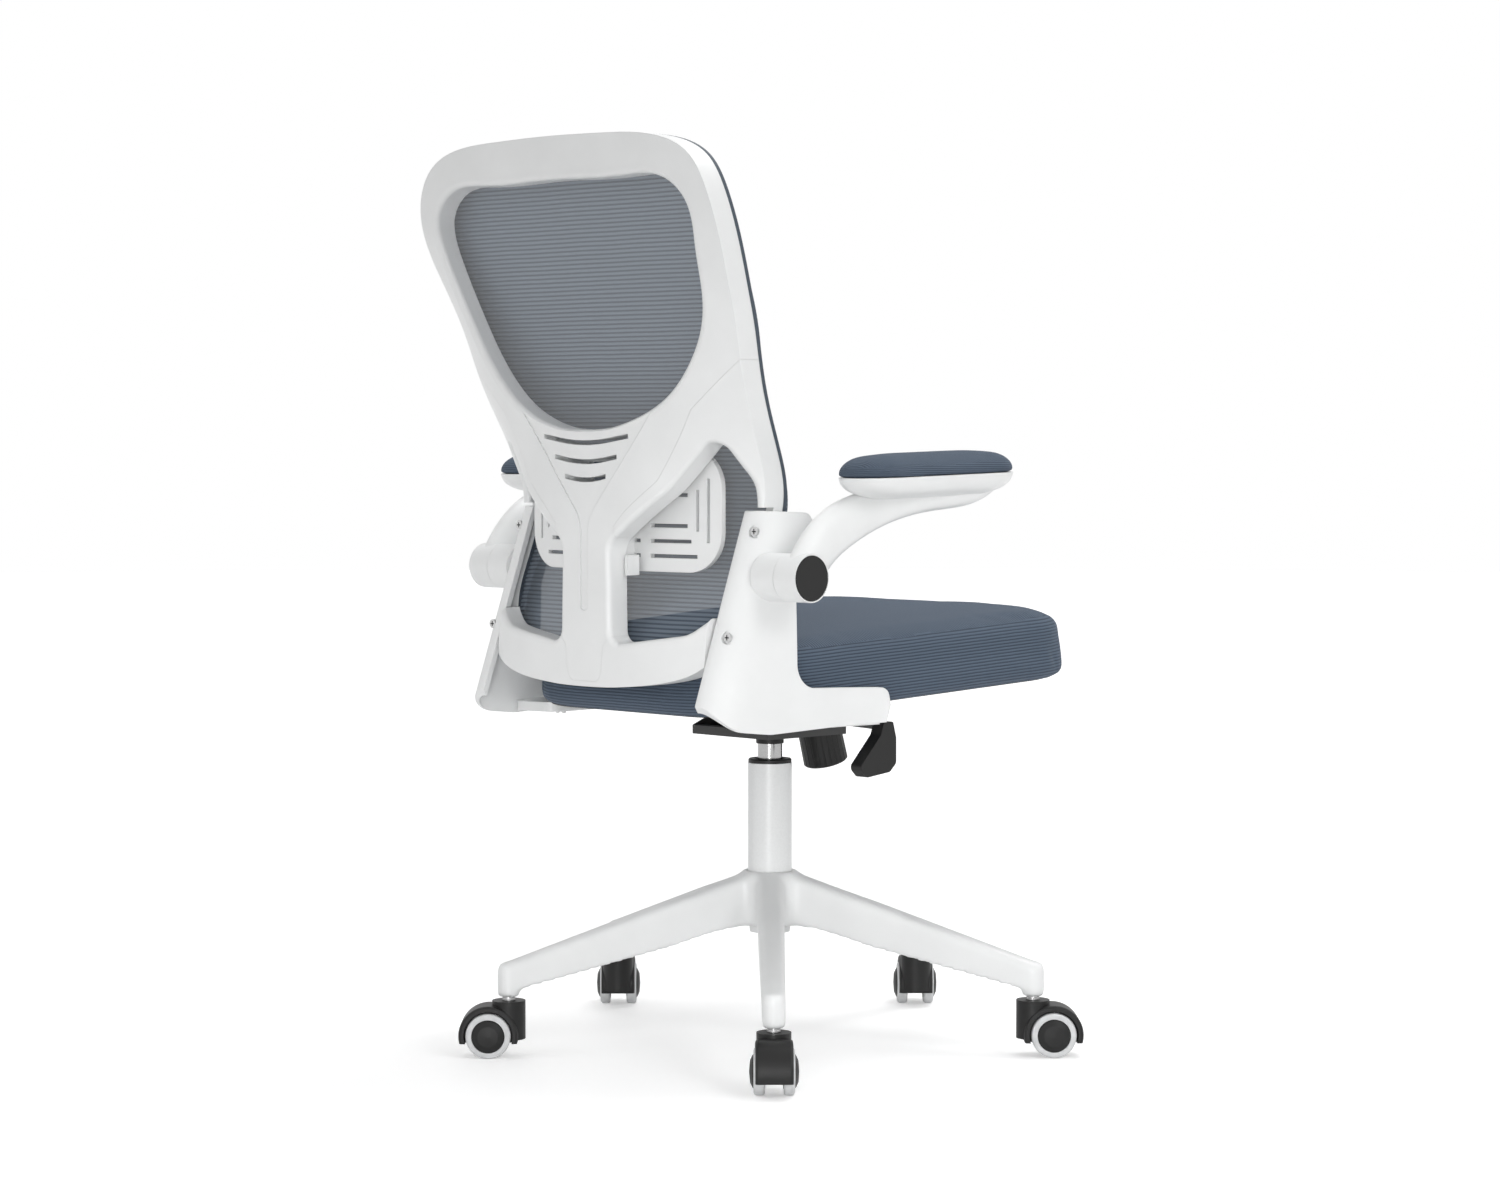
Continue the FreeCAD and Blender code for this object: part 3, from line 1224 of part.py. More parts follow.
def make_arm():
    y, z = dim("arm_pivot_y"), dim("arm_pivot_z")
    inner, outer = dim("arm_inner_x"), dim("arm_outer_x")
    hub = cylinder("arm_hub", "dims.arm_hub_radius", "dims.arm_inner_x - dims.arm_outer_x",
                   Vector(inner, y, z), Vector(-1, 0, 0))
    stations = [(0, y - 4, z + 4, 32, 24, 15.2), (1, 161, 580, 47, 26, 15), (4, 136, 596, 57, 25.5, 15),
                (10, 104, 609, 66, 22, 16), (18, 67, 619, 78, 19, 18), (24, 27, 625, 86, 18, 20),
                (28, -13, 628, 90, 17, 20), (28, -48, 633, 92, 13, 18), (28, -73, 641, 95, 4, 8)]
    ovals = [arm_section(i, *station) for i, station in enumerate(stations)]
    stalk = loft("arm_stalk", ovals)
    levels = [(0, 1.0, 1.0), (-9, 0.97, 0.93), (-18, 0.84, 0.7), (-23, 0.66, 0.42)]
    plans = []
    for index, (height, long, wide) in enumerate(levels):
        plan = loose_sketch(f"arm_shell_{index}", pad_frame(height))
        stadium(plan, dim("pad_length") * long, dim("pad_width") * wide)
        plans.append(plan)
    shell = loft("arm_shell", plans)
    cap_room = cylinder("cap_room", "dims.cap_radius + 0.02", "4", Vector(outer + 2.5, y, z), Vector(-1, 0, 0))
    pin_bore = cylinder("arm_pin_bore", "6.05", "40", Vector(inner + 5, y, z), Vector(-1, 0, 0))
    whole = cut("arm_whole", fused("arm_mass", [hub, stalk, shell]), [cap_room, pin_bore])
    keep(whole, "arm_right")
    keep(mirrored("arm_mirror", whole), "arm_left")

    cap = cylinder("cap", "dims.cap_radius", "2.3", Vector(outer + 2.5, y, z), Vector(-1, 0, 0))
    keep(cap, "arm_cap_right")
    keep(mirrored("cap_mirror", cap), "arm_cap_left")
    pin_start = dim("boss_inner_x") - 6
    pin = cylinder("arm_pin", "6", str(pin_start - outer - 3), Vector(pin_start, y, z), Vector(-1, 0, 0))
    keep(pin, "arm_pin_right")
    keep(mirrored("arm_pin_mirror", pin), "arm_pin_left")

    plans = []
    levels = [(0.2, 1.0, 1.0), (6, 1.0, 1.0), (15, 0.94, 0.88), (22, 0.78, 0.55)]
    for index, (height, long, wide) in enumerate(levels):
        plan = loose_sketch(f"pad_plan_{index}", pad_frame(height))
        stadium(plan, dim("pad_length") * long, dim("pad_width") * wide)
        plans.append(plan)
    pad = loft("pad", plans)
    keep(pad, "arm_pad_right")
    keep(mirrored("pad_mirror", pad), "arm_pad_left")


# Checks and files

def check_document():
    faults = []
    for thing in doc.Objects:
        bad = {"Invalid", "Error"} & set(thing.State)
        if bad:
            faults.append(f"{thing.Name} ({thing.TypeId}) is {sorted(bad)}")
    for label, thing in nodes.items():
        shape = thing.Shape
        if shape.isNull() or not shape.isValid() or not shape.Solids:
            faults.append(f"{label} has no valid solid")
    if faults:
        raise RuntimeError("; ".join(faults))


def write_parts():
    os.makedirs("parts", exist_ok=True)
    for label, thing in nodes.items():
        thing.Shape.exportStep(f"parts/{label}.step")


fill_sheet()
make_base_star()
make_casters()
make_column()
make_housing()
make_tension()
make_lever()
make_seat()
make_seat_plate()
lower_loop, loop_sketch = make_back()
make_mesh(loop_sketch)
make_lumbar()
make_bracket()
make_lower_frame(lower_loop)
make_screws()
make_arm()
doc.recompute()
check_document()
write_parts()
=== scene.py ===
"""Studio scene of the office chair: materials, soft pieces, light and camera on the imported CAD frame."""
import json
import math

import bmesh
import bpy
from mathutils import Matrix, Vector


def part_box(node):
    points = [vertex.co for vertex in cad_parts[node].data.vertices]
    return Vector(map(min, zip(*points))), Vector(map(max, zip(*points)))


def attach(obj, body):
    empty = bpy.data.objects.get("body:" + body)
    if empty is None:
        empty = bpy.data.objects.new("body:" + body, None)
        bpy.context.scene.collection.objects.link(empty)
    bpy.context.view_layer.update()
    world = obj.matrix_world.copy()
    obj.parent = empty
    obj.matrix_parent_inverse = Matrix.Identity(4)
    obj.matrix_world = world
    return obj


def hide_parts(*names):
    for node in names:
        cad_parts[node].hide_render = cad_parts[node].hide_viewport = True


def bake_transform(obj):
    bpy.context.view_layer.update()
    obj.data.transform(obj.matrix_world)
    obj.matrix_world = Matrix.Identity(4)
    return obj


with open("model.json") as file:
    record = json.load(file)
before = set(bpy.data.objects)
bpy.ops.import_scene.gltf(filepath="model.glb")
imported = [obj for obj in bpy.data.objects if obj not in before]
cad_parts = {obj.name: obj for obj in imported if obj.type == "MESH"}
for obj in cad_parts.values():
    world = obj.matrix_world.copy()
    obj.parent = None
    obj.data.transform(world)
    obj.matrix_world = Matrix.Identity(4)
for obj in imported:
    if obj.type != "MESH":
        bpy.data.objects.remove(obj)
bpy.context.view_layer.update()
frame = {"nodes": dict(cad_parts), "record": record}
nodes = frame["nodes"]
MM = 0.001


# Materials

def linear(code):
    """An sRGB hex colour as the linear colour that shaders take."""
    channels = [int(code[place:place + 2], 16) / 255 for place in (1, 3, 5)]
    return (*(c / 12.92 if c <= 0.04045 else ((c + 0.055) / 1.055) ** 2.4 for c in channels), 1.0)


def per(size):
    """A pattern's scale from the size of one of its grains in millimetres."""
    return 1 / (size * MM)


def node(tree, kind, inputs, **settings):
    """Adds a node: an input given as a socket is linked, and any other value is set."""
    made = tree.nodes.new(kind)
    for key, value in settings.items():
        setattr(made, key, value)
    for key, value in inputs.items():
        if isinstance(value, bpy.types.NodeSocket):
            tree.links.new(value, made.inputs[key])
        else:
            made.inputs[key].default_value = value
    return made


def new_material(name):
    """An empty material, its node tree and the place on the piece that its patterns read."""
    material = bpy.data.materials.new(name)
    material.use_nodes = True
    tree = material.node_tree
    tree.nodes.clear()
    return material, tree, node(tree, "ShaderNodeTexCoord", {}).outputs["Object"]


def finish_material(tree, values):
    """Ends a material's node tree with its surface."""
    shader = node(tree, "ShaderNodeBsdfPrincipled", values)
    node(tree, "ShaderNodeOutputMaterial", {"Surface": shader.outputs[0]})


def blend(tree, pattern, low, high, first, second):
    """Goes from the first colour to the second as the pattern goes from low to high."""
    share = node(tree, "ShaderNodeMapRange", {"Value": pattern, "From Min": low, "From Max": high})
    mix = node(tree, "ShaderNodeMix", {0: share.outputs[0], 6: linear(first), 7: linear(second)},
               data_type="RGBA")
    return mix.outputs[2]


def moulded_plastic(name, colour, cloud_colour, roughness, grain, edge, shine):
    """Injection-moulded plastic: even colour, a fine spark-eroded grain, patchy gloss, softened edges."""
    material, tree, place = new_material(name)
    noise = node(tree, "ShaderNodeTexNoise", {"Vector": place, "Scale": per(70), "Detail": 3.0})
    cloud = noise.outputs["Fac"]
    gloss = node(tree, "ShaderNodeMapRange", {"Value": cloud, "To Min": roughness - 0.05,
                                              "To Max": roughness + 0.06})
    spark = node(tree, "ShaderNodeTexVoronoi", {"Vector": place, "Scale": per(0.7)})
    soft = node(tree, "ShaderNodeBevel", {"Radius": edge * MM}, samples=4)
    relief = node(tree, "ShaderNodeBump", {"Strength": grain, "Distance": 0.05 * MM,
                                           "Height": spark.outputs["Distance"], "Normal": soft.outputs[0]})
    finish_material(tree, {"Base Color": blend(tree, cloud, 0.35, 0.65, cloud_colour, colour),
                           "Roughness": gloss.outputs[0], "Specular IOR Level": shine,
                           "Normal": relief.outputs[0]})
    return material


def bare_steel(name, colour, worn_colour, roughness):
    """Drawn or turned steel, bright or chromed: a mirror broken by fine rings round the part."""
    material, tree, place = new_material(name)
    squeezed = node(tree, "ShaderNodeMapping", {"Vector": place, "Scale": (1.0, 1.0, 30.0)}).outputs[0]
    noise = node(tree, "ShaderNodeTexNoise", {"Vector": squeezed, "Scale": per(16), "Detail": 4.0})
    rings = noise.outputs["Fac"]
    gloss = node(tree, "ShaderNodeMapRange", {"Value": rings, "To Min": roughness,
                                              "To Max": roughness + 0.12})
    soft = node(tree, "ShaderNodeBevel", {"Radius": 0.4 * MM}, samples=4)
    finish_material(tree, {"Base Color": blend(tree, rings, 0.3, 0.7, worn_colour, colour),
                           "Metallic": 1.0, "Roughness": gloss.outputs[0], "Normal": soft.outputs[0]})
    return material


def powder_coat(name, colour, thin_colour, roughness):
    """Powder-coated steel: a thick sprayed skin with faint orange peel, thinner in places."""
    material, tree, place = new_material(name)
    noise = node(tree, "ShaderNodeTexNoise", {"Vector": place, "Scale": per(2.4), "Detail": 2.0})
    peel = noise.outputs["Fac"]
    soft = node(tree, "ShaderNodeBevel", {"Radius": 0.8 * MM}, samples=4)
    relief = node(tree, "ShaderNodeBump", {"Strength": 0.5, "Distance": 0.12 * MM, "Height": peel,
                                           "Normal": soft.outputs[0]})
    finish_material(tree, {"Base Color": blend(tree, peel, 0.3, 0.7, thin_colour, colour),
                           "Roughness": roughness, "Normal": relief.outputs[0]})
    return material


def polyurethane_tread(name, scuffed, clean):
    """Cast polyurethane: matt pale grey rubber with darker scuffs from the floor."""
    material, tree, place = new_material(name)
    noise = node(tree, "ShaderNodeTexNoise", {"Vector": place, "Scale": per(11), "Detail": 5.0})
    wear = noise.outputs["Fac"]
    soft = node(tree, "ShaderNodeBevel", {"Radius": 1.2 * MM}, samples=4)
    relief = node(tree, "ShaderNodeBump", {"Strength": 0.4, "Distance": 0.1 * MM, "Height": wear,
                                           "Normal": soft.outputs[0]})
    finish_material(tree, {"Base Color": blend(tree, wear, 0.3, 0.7, scuffed, clean), "Roughness": 0.48,
                           "Normal": relief.outputs[0]})
    return material


def dust_cloth(name, dark, light):
    """Spun polypropylene felt glued under the seat's board: dead black, with loose flat fibres."""
    material, tree, place = new_material(name)
    drawn = node(tree, "ShaderNodeMapping", {"Vector": place, "Scale": (1.0, 0.35, 1.0)}).outputs[0]
    noise = node(tree, "ShaderNodeTexNoise", {"Vector": drawn, "Scale": per(1.1), "Detail": 4.0})
    fibres = noise.outputs["Fac"]
    relief = node(tree, "ShaderNodeBump", {"Strength": 0.6, "Distance": 0.15 * MM, "Height": fibres})
    finish_material(tree, {"Base Color": blend(tree, fibres, 0.3, 0.7, dark, light), "Roughness": 0.92,
                           "Normal": relief.outputs[0]})
    return material


STITCH = 1.5


def ribbed_knit(name, dark, light, rib, see_through=0.0):
    """Warp-knitted polyester: raised ribs across the piece, the colour lighter on their crowns and darker
    in the gaps between them as painted shade, a fine stitch along each rib and a little thread fuzz. The
    ribs are drawn slightly coarser than the real ones, to show."""
    material, tree, place = new_material(name)
    laid = node(tree, "ShaderNodeUVMap", {}, uv_map="weave").outputs[0]
    across = node(tree, "ShaderNodeSeparateXYZ", {"Vector": laid}).outputs
    slow = node(tree, "ShaderNodeTexNoise", {"Vector": place, "Scale": per(110), "Detail": 2.0})
    fine = node(tree, "ShaderNodeTexNoise", {"Vector": place, "Scale": per(0.6), "Detail": 3.0})
    sway, fuzz = slow.outputs["Fac"], fine.outputs["Fac"]
    moved = node(tree, "ShaderNodeMath", {0: sway, 1: 1.5 * MM, 2: across["Y"]}, operation="MULTIPLY_ADD")
    rib_turn = node(tree, "ShaderNodeMath", {0: moved.outputs[0], 1: 2 * math.pi * per(rib)},
                    operation="MULTIPLY")
    rib_wave = node(tree, "ShaderNodeMath", {0: rib_turn.outputs[0]}, operation="SINE")
    height = node(tree, "ShaderNodeMath", {0: rib_wave.outputs[0], 1: 0.5, 2: 0.5},
                  operation="MULTIPLY_ADD")
    stitch_turn = node(tree, "ShaderNodeMath", {0: across["X"], 1: 2 * math.pi * per(STITCH)},
                       operation="MULTIPLY")
    stitch = node(tree, "ShaderNodeMath", {0: stitch_turn.outputs[0]}, operation="SINE")
    # painted shade: the colour follows the rib height and is darkest in the gaps between ribs, with random
    # thread fuzz on top
    shade = node(tree, "ShaderNodeMath", {0: fuzz, 1: 0.5, 2: height.outputs[0]}, operation="MULTIPLY_ADD")
    relief = node(tree, "ShaderNodeMath", {0: stitch.outputs[0], 1: 0.18, 2: height.outputs[0]},
                  operation="MULTIPLY_ADD")
    fluff = node(tree, "ShaderNodeBump", {"Strength": 0.5, "Distance": 0.12 * MM, "Height": fuzz})
    ribs = node(tree, "ShaderNodeBump", {"Strength": 0.7, "Distance": 0.5 * MM, "Height": relief.outputs[0],
                                         "Normal": fluff.outputs[0]})
    finish_material(tree, {"Base Color": blend(tree, shade.outputs[0], 0.35, 0.85, dark, light),
                           "Roughness": 0.86, "Sheen Weight": 0.25, "Sheen Roughness": 0.5,
                           "Sheen Tint": linear(light), "Alpha": 1.0 - see_through,
                           "Normal": ribs.outputs[0]})
    return material


WHITE, SHADED_WHITE = "#E7E8E8", "#E3E4E4"
# each knit's dark colour is painted shade in the gaps between its ribs, its light colour the ribs' crowns
SLATE_DARK, SLATE_LIGHT = "#303A47", "#4E5B6B"
MESH_DARK, MESH_LIGHT = "#3F4956", "#717C88"
BLACK, WORN_BLACK = "#181818", "#151515"
MATERIALS = {
    "white_plastic": moulded_plastic("white_polypropylene", WHITE, SHADED_WHITE,
                                     roughness=0.34, grain=0.10, edge=1.2, shine=0.5),
    "white_steel": powder_coat("white_powder_coat", WHITE, SHADED_WHITE, roughness=0.30),
    "black_plastic": moulded_plastic("black_nylon", BLACK, WORN_BLACK,
                                     roughness=0.46, grain=0.35, edge=0.8, shine=0.3),
    "black_steel": powder_coat("black_powder_coat", "#292929", "#262626", roughness=0.42),
    "grey_tyre": polyurethane_tread("grey_polyurethane", "#C5C6C7", "#D7D8D9"),
    "bright_steel": bare_steel("turned_steel", "#CBCBCB", "#BEBEBE", roughness=0.28),
    "chrome": bare_steel("chromed_steel", "#AAAAAA", "#9E9E9E", roughness=0.12),
    "plywood": dust_cloth("dust_cloth", "#1D1D1D", "#303030"),
    "fabric": ribbed_knit("seat_knit", SLATE_DARK, SLATE_LIGHT, rib=3.4),
    "mesh": ribbed_knit("back_net", MESH_DARK, MESH_LIGHT, rib=4.6, see_through=0.10),
    "carrier": moulded_plastic("grey_polypropylene", "#404954", "#3E4752",
                               roughness=0.6, grain=0.5, edge=0.8, shine=0.5),
}
FINE_KNIT = ribbed_knit("arm_knit", SLATE_DARK, SLATE_LIGHT, rib=2.0)
SLOT_OF = {entry["node"]: entry["material_slot"] for entry in frame["record"]["subparts"]}


def paint_nodes():
    """Gives every CAD node the material of its slot."""
    for name, thing in nodes.items():
        thing.data.materials.clear()
        thing.data.materials.append(MATERIALS[SLOT_OF[name]])


# Soft pieces

def smooth_step(value):
    """Eases from nothing at 0 to one at 1, and is level beyond both."""
    value = min(max(value, 0.0), 1.0)
    return value * value * (3 - 2 * value)


def new_piece(name, mesh, slot, material=None):
    """A piece of the visual model, in the material of its slot unless another is given."""
    thing = bpy.data.objects.new(name, mesh)
    bpy.context.scene.collection.objects.link(thing)
    mesh.materials.clear()
    mesh.materials.append(material or MATERIALS[slot])
    return thing


def as_mesh(build, name, smooth=True):
    """A finished bmesh as a mesh with smooth or flat faces."""
    mesh = bpy.data.meshes.new(name)
    for face in build.faces:
        face.smooth = smooth
    build.to_mesh(mesh)
    build.free()
    return mesh


def joined_copy(node_name):
    """A copy of a CAD node's mesh with its loose triangles joined."""
    build = bmesh.new()
    build.from_mesh(nodes[node_name].data)
    bmesh.ops.remove_doubles(build, verts=build.verts, dist=0.002 * MM)
    return as_mesh(build, node_name + "_copy")


def applied(thing):
    """Puts the object's modifiers into its mesh for good."""
    graph = bpy.context.evaluated_depsgraph_get()
    done = bpy.data.meshes.new_from_object(thing.evaluated_get(graph))
    thing.modifiers.clear()
    thing.data = done
    for face in done.polygons:
        face.use_smooth = True


def even_mesh(thing, size):
    """Lays even faces of one size, in millimetres, over a closed piece."""
    step = thing.modifiers.new("even", "REMESH")
    step.mode = "VOXEL"
    step.voxel_size = size * MM
    applied(thing)


def puffed(thing, pinned, pressure, cap, frames):
    """Blows a pad up a little with cloth, holding the points that the test pins."""
    mesh = thing.data
    start = [vertex.co.copy() for vertex in mesh.vertices]
    hold = thing.vertex_groups.new(name="hold")
    hold.add([v.index for v in mesh.vertices if pinned(v.co)], 1.0, "REPLACE")
    cloth = thing.modifiers.new("cloth", "CLOTH")
    cloth.settings.use_pressure = True
    cloth.settings.uniform_pressure_force = pressure
    cloth.settings.vertex_group_mass = "hold"
    cloth.settings.quality = 4
    cloth.settings.effector_weights.gravity = 0
    cloth.point_cache.frame_end = frames
    scene = bpy.context.scene
    for number in range(1, frames + 1):
        scene.frame_set(number)
    applied(thing)
    scene.frame_set(1)
    for vertex, origin in zip(thing.data.vertices, start):
        move = vertex.co - origin
        if move.length > cap * MM:
            vertex.co = origin + move * (cap * MM / move.length)


def relaxed(thing, times, group=""):
    """Smooths a piece a number of times, all over or by a vertex group's weights."""
    step = thing.modifiers.new("relax", "SMOOTH")
    step.iterations = times
    step.factor = 0.5
    step.vertex_group = group
    applied(thing)


def weave(thing, rule):
    """Lays the knit on a piece: the rule gives a point's place along and across the ribs."""
    mesh = thing.data
    layer = mesh.uv_layers.new(name="weave")
    for face in mesh.polygons:
        for corner in face.loop_indices:
            point = mesh.vertices[mesh.loops[corner].vertex_index].co
            layer.data[corner].uv = rule(point, face)


SEAT_LEAN = math.radians(3.5)
SEAT_HEIGHT, SEAT_THICK = 400, 74
SEAT_FRONT, SEAT_REAR = -276, 231
SEAT_FRONT_HALF, SEAT_REAR_HALF = 243, 195.5
SEAT_FRONT_CORNER, SEAT_REAR_CORNER = 75, 110
SEAT_FRONT_CORNER_CUTS, SEAT_REAR_CORNER_CUTS = 10, 12
SEAT_TOP_ROLL, SEAT_LOW_ROLL = 20, 16
SEAT_TOP_ROLL_CUTS, SEAT_LOW_ROLL_CUTS = 7, 6
SEAT_CROWN, SEAT_CROWN_REACH = 3.0, 100
SEAT_FACE = 6.0
SEAT_SEAM, SEAT_SWELL, SEAT_FRAMES, SEAT_PASSES = 10, 5, 18, 3
PAD_FACE = 3
PAD_SEAM, PAD_SWELL, PAD_FRAMES, PAD_PASSES = 6, 2.5, 12, 10
STUFFING_PRESSURE = 4.0
SEAT_TOP_FACING, PAD_TOP_FACING = 0.8, 0.6
ON_PLANE = 0.01


def seat_height(point):
    """Height of a point above the seat's own underside plane, in millimetres."""
    return (point.z / MM - SEAT_HEIGHT) * math.cos(SEAT_LEAN) + point.y / MM * math.sin(SEAT_LEAN)


def rounded(build, geometry, size, segments, affect):
    """Rounds corners or edges off to a radius."""
    bmesh.ops.bevel(build, geom=geometry, offset=size, offset_type="OFFSET", segments=segments, profile=0.5,
                    affect=affect, material=-1, clamp_overlap=True)


def rim(build, height):
    """The edges of the seat block that lie all round it at one height."""
    return [e for e in build.edges if all(abs(v.co.z - height) < ON_PLANE for v in e.verts)]


def seat_block():
    """The seat pad before it is stuffed: its plan with round corners, drawn up, with both rims rolled."""
    build = bmesh.new()
    front = [build.verts.new((x, SEAT_FRONT, 0)) for x in (-SEAT_FRONT_HALF, SEAT_FRONT_HALF)]
    rear = [build.verts.new((x, SEAT_REAR, 0)) for x in (SEAT_REAR_HALF, -SEAT_REAR_HALF)]
    build.faces.new(front + rear)
    rounded(build, front, SEAT_FRONT_CORNER, SEAT_FRONT_CORNER_CUTS, "VERTICES")
    rear = [v for v in build.verts if abs(v.co.y - SEAT_REAR) < ON_PLANE]
    rounded(build, rear, SEAT_REAR_CORNER, SEAT_REAR_CORNER_CUTS, "VERTICES")
    raised = bmesh.ops.extrude_face_region(build, geom=build.faces[:])["geom"]
    top = [part for part in raised if isinstance(part, bmesh.types.BMVert)]
    bmesh.ops.translate(build, verts=top, vec=(0, 0, SEAT_THICK))
    rounded(build, rim(build, SEAT_THICK), SEAT_TOP_ROLL, SEAT_TOP_ROLL_CUTS, "EDGES")
    rounded(build, rim(build, 0), SEAT_LOW_ROLL, SEAT_LOW_ROLL_CUTS, "EDGES")
    bmesh.ops.recalc_face_normals(build, faces=build.faces)
    lifted = Matrix.Translation((0, 0, SEAT_HEIGHT)) @ Matrix.Rotation(-SEAT_LEAN, 4, "X")
    bmesh.ops.transform(build, matrix=Matrix.Scale(MM, 4) @ lifted, verts=build.verts)
    return as_mesh(build, "seat_upholstery")


def crowned(thing):
    """Raises the middle of the seat's top a little, as stuffing does."""
    for vertex in thing.data.vertices:
        if seat_height(vertex.co) > SEAT_THICK - 1:
            inset = (SEAT_REAR_HALF - abs(vertex.co.x / MM)) / SEAT_CROWN_REACH
            vertex.co.z += SEAT_CROWN * MM * smooth_step(inset)


def seat_weave(point, face):
    """Ribs run across the top and level round the sides."""
    if face.normal.z > SEAT_TOP_FACING:
        return point.x, point.y
    return point.x + point.y, point.z + point.y * math.tan(SEAT_LEAN)


def make_cushion():
    """The upholstered seat, stuffed above its sewn edge."""
    thing = new_piece("seat_upholstery", seat_block(), "fabric")
    even_mesh(thing, SEAT_FACE)
    crowned(thing)
    puffed(thing, lambda point: seat_height(point) < SEAT_SEAM,
           STUFFING_PRESSURE, SEAT_SWELL, SEAT_FRAMES)
    relaxed(thing, SEAT_PASSES)
    weave(thing, seat_weave)
    finer = thing.modifiers.new("finer", "SUBSURF")
    finer.levels = 1
    finer.render_levels = 1
    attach(thing, "seat")
    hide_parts("seat_cushion")


def pad_weave(point, face):
    """Ribs run across an arm pad's top and level round its rim."""
    if face.normal.z > PAD_TOP_FACING:
        return point.x, point.y
    return point.x + point.y, point.z


def make_arm_pads():
    """The knitted covers of both arm pads, stuffed above their sewn edges."""
    for side in ("right", "left"):
        low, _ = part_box(f"arm_pad_{side}")
        thing = new_piece(f"arm_cover_{side}", joined_copy(f"arm_pad_{side}"), "fabric", FINE_KNIT)
        even_mesh(thing, PAD_FACE)
        sewn_edge = low[2] + PAD_SEAM * MM
        puffed(thing, lambda point: point.z < sewn_edge, STUFFING_PRESSURE, PAD_SWELL, PAD_FRAMES)
        relaxed(thing, PAD_PASSES)
        weave(thing, pad_weave)
        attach(thing, f"{side}_arm")
        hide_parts(f"arm_pad_{side}")


# Base

BASE_FACE = 3
HUB_START, HUB_START_SPAN = 29, 8
HUB_END, HUB_END_SPAN = 70, 60
BASE_PASSES, HUB_PASSES = 3, 40


def make_base():
    """The star moulding with its legs run softly into the hub."""
    thing = new_piece("base_moulding", joined_copy("base_star"), SLOT_OF["base_star"])
    even_mesh(thing, BASE_FACE)
    hub = thing.vertex_groups.new(name="hub")
    for vertex in thing.data.vertices:
        reach = math.hypot(vertex.co.x, vertex.co.y) / MM
        weight = smooth_step((reach - HUB_START) / HUB_START_SPAN)
        weight *= 1 - smooth_step((reach - HUB_END) / HUB_END_SPAN)
        if weight > 0:
            hub.add([vertex.index], weight, "REPLACE")
    relaxed(thing, BASE_PASSES)
    relaxed(thing, HUB_PASSES, "hub")
    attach(thing, "base")
    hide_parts("base_star")


# Net across the back

NET_MIDDLE = 700
NET_MARGIN = 5
NET_RINGS = 26
NET_OFFSET = 36.5
NET_HEM_ROLL = 1.5
NET_WAIST, NET_FLARE, NET_FLARE_START, NET_FLARE_SPAN = 198, 36, 620, 310
NET_PULL_LOW, NET_PULL_LOW_SPAN, NET_PULL_HIGH, NET_PULL_HIGH_SPAN = 456, 64, 920, 75
NET_SAG = 0.2
CARRIER_OFFSET = 31.5
BACK_LOW, BACK_LEAN, BACK_LEAN_START, BACK_LEAN_SPAN = 279, 51, 670, 250
WRAP_TOP, WRAP_SIDE, WRAP_FADE_START, WRAP_FADE_SPAN = 7, 26, 780, 190
WRAP_LUMBAR, LUMBAR_HEIGHT, LUMBAR_SPREAD = 55, 612, 85
WRAP_REACH = 200
LOOP_OUTLINE = [
    (0, 1004), (90, 1002.5), (160, 997), (212, 974), (234, 925), (226, 840), (214, 760), (202, 680),
    (195, 610), (192.5, 540), (188, 488), (171, 449), (125, 428), (60, 420), (0, 418),
]
LOOP_MIDDLE, LOOP_RISE, LOOP_REACH = 711, 293, 234


def crown(z):
    """Depth of the back's loop on its middle line at a height."""
    return BACK_LOW + BACK_LEAN * smooth_step((z - BACK_LEAN_START) / BACK_LEAN_SPAN)


def drop(z):
    """How far the loop's sides come forward of its middle line at a height."""
    side = WRAP_SIDE * (1 - smooth_step((z - WRAP_FADE_START) / WRAP_FADE_SPAN))
    return WRAP_TOP + side + WRAP_LUMBAR * math.exp(-((z - LUMBAR_HEIGHT) / LUMBAR_SPREAD) ** 2)


def net_depth(x, z):
    """Depth of the net, which is pulled nearly flat between the loop's sides."""
    width = NET_WAIST + NET_FLARE * smooth_step((z - NET_FLARE_START) / NET_FLARE_SPAN)
    pull = smooth_step((z - NET_PULL_LOW) / NET_PULL_LOW_SPAN)
    pull *= 1 - smooth_step((z - NET_PULL_HIGH) / NET_PULL_HIGH_SPAN)
    flat = (width / WRAP_REACH) ** 3 + NET_SAG * ((x / width) ** 2 - 1)
    free = abs(x / WRAP_REACH) ** 3
    return crown(z) - drop(z) * (pull * flat + (1 - pull) * free) - NET_OFFSET


def carrier_front(x, z):
    """Depth of the front face of the carrier that the net is hemmed to."""
    return crown(z) - drop(z) * abs(x / WRAP_REACH) ** 3 - CARRIER_OFFSET


def outline_points(margin, per_span=8):
    """Points round the back's outline, drawn in by a margin, on a smooth curve through its corners."""
    loop = LOOP_OUTLINE + [(-x, z) for x, z in reversed(LOOP_OUTLINE[1:-1])]
    across, along = 1 - margin / LOOP_REACH, 1 - margin / LOOP_RISE
    loop = [Vector((x * across, LOOP_MIDDLE + (z - LOOP_MIDDLE) * along)) for x, z in loop]
    points = []
    count = len(loop)
    for i in range(count):
        a, b, c, d = (loop[(i + k) % count] for k in (-1, 0, 1, 2))
        for step in range(per_span):
            t = step / per_span
            points.append(0.5 * (2 * b + (c - a) * t + (2 * a - 5 * b + 4 * c - d) * t * t
                                 + (3 * b - a - 3 * c + d) * t ** 3))
    return points


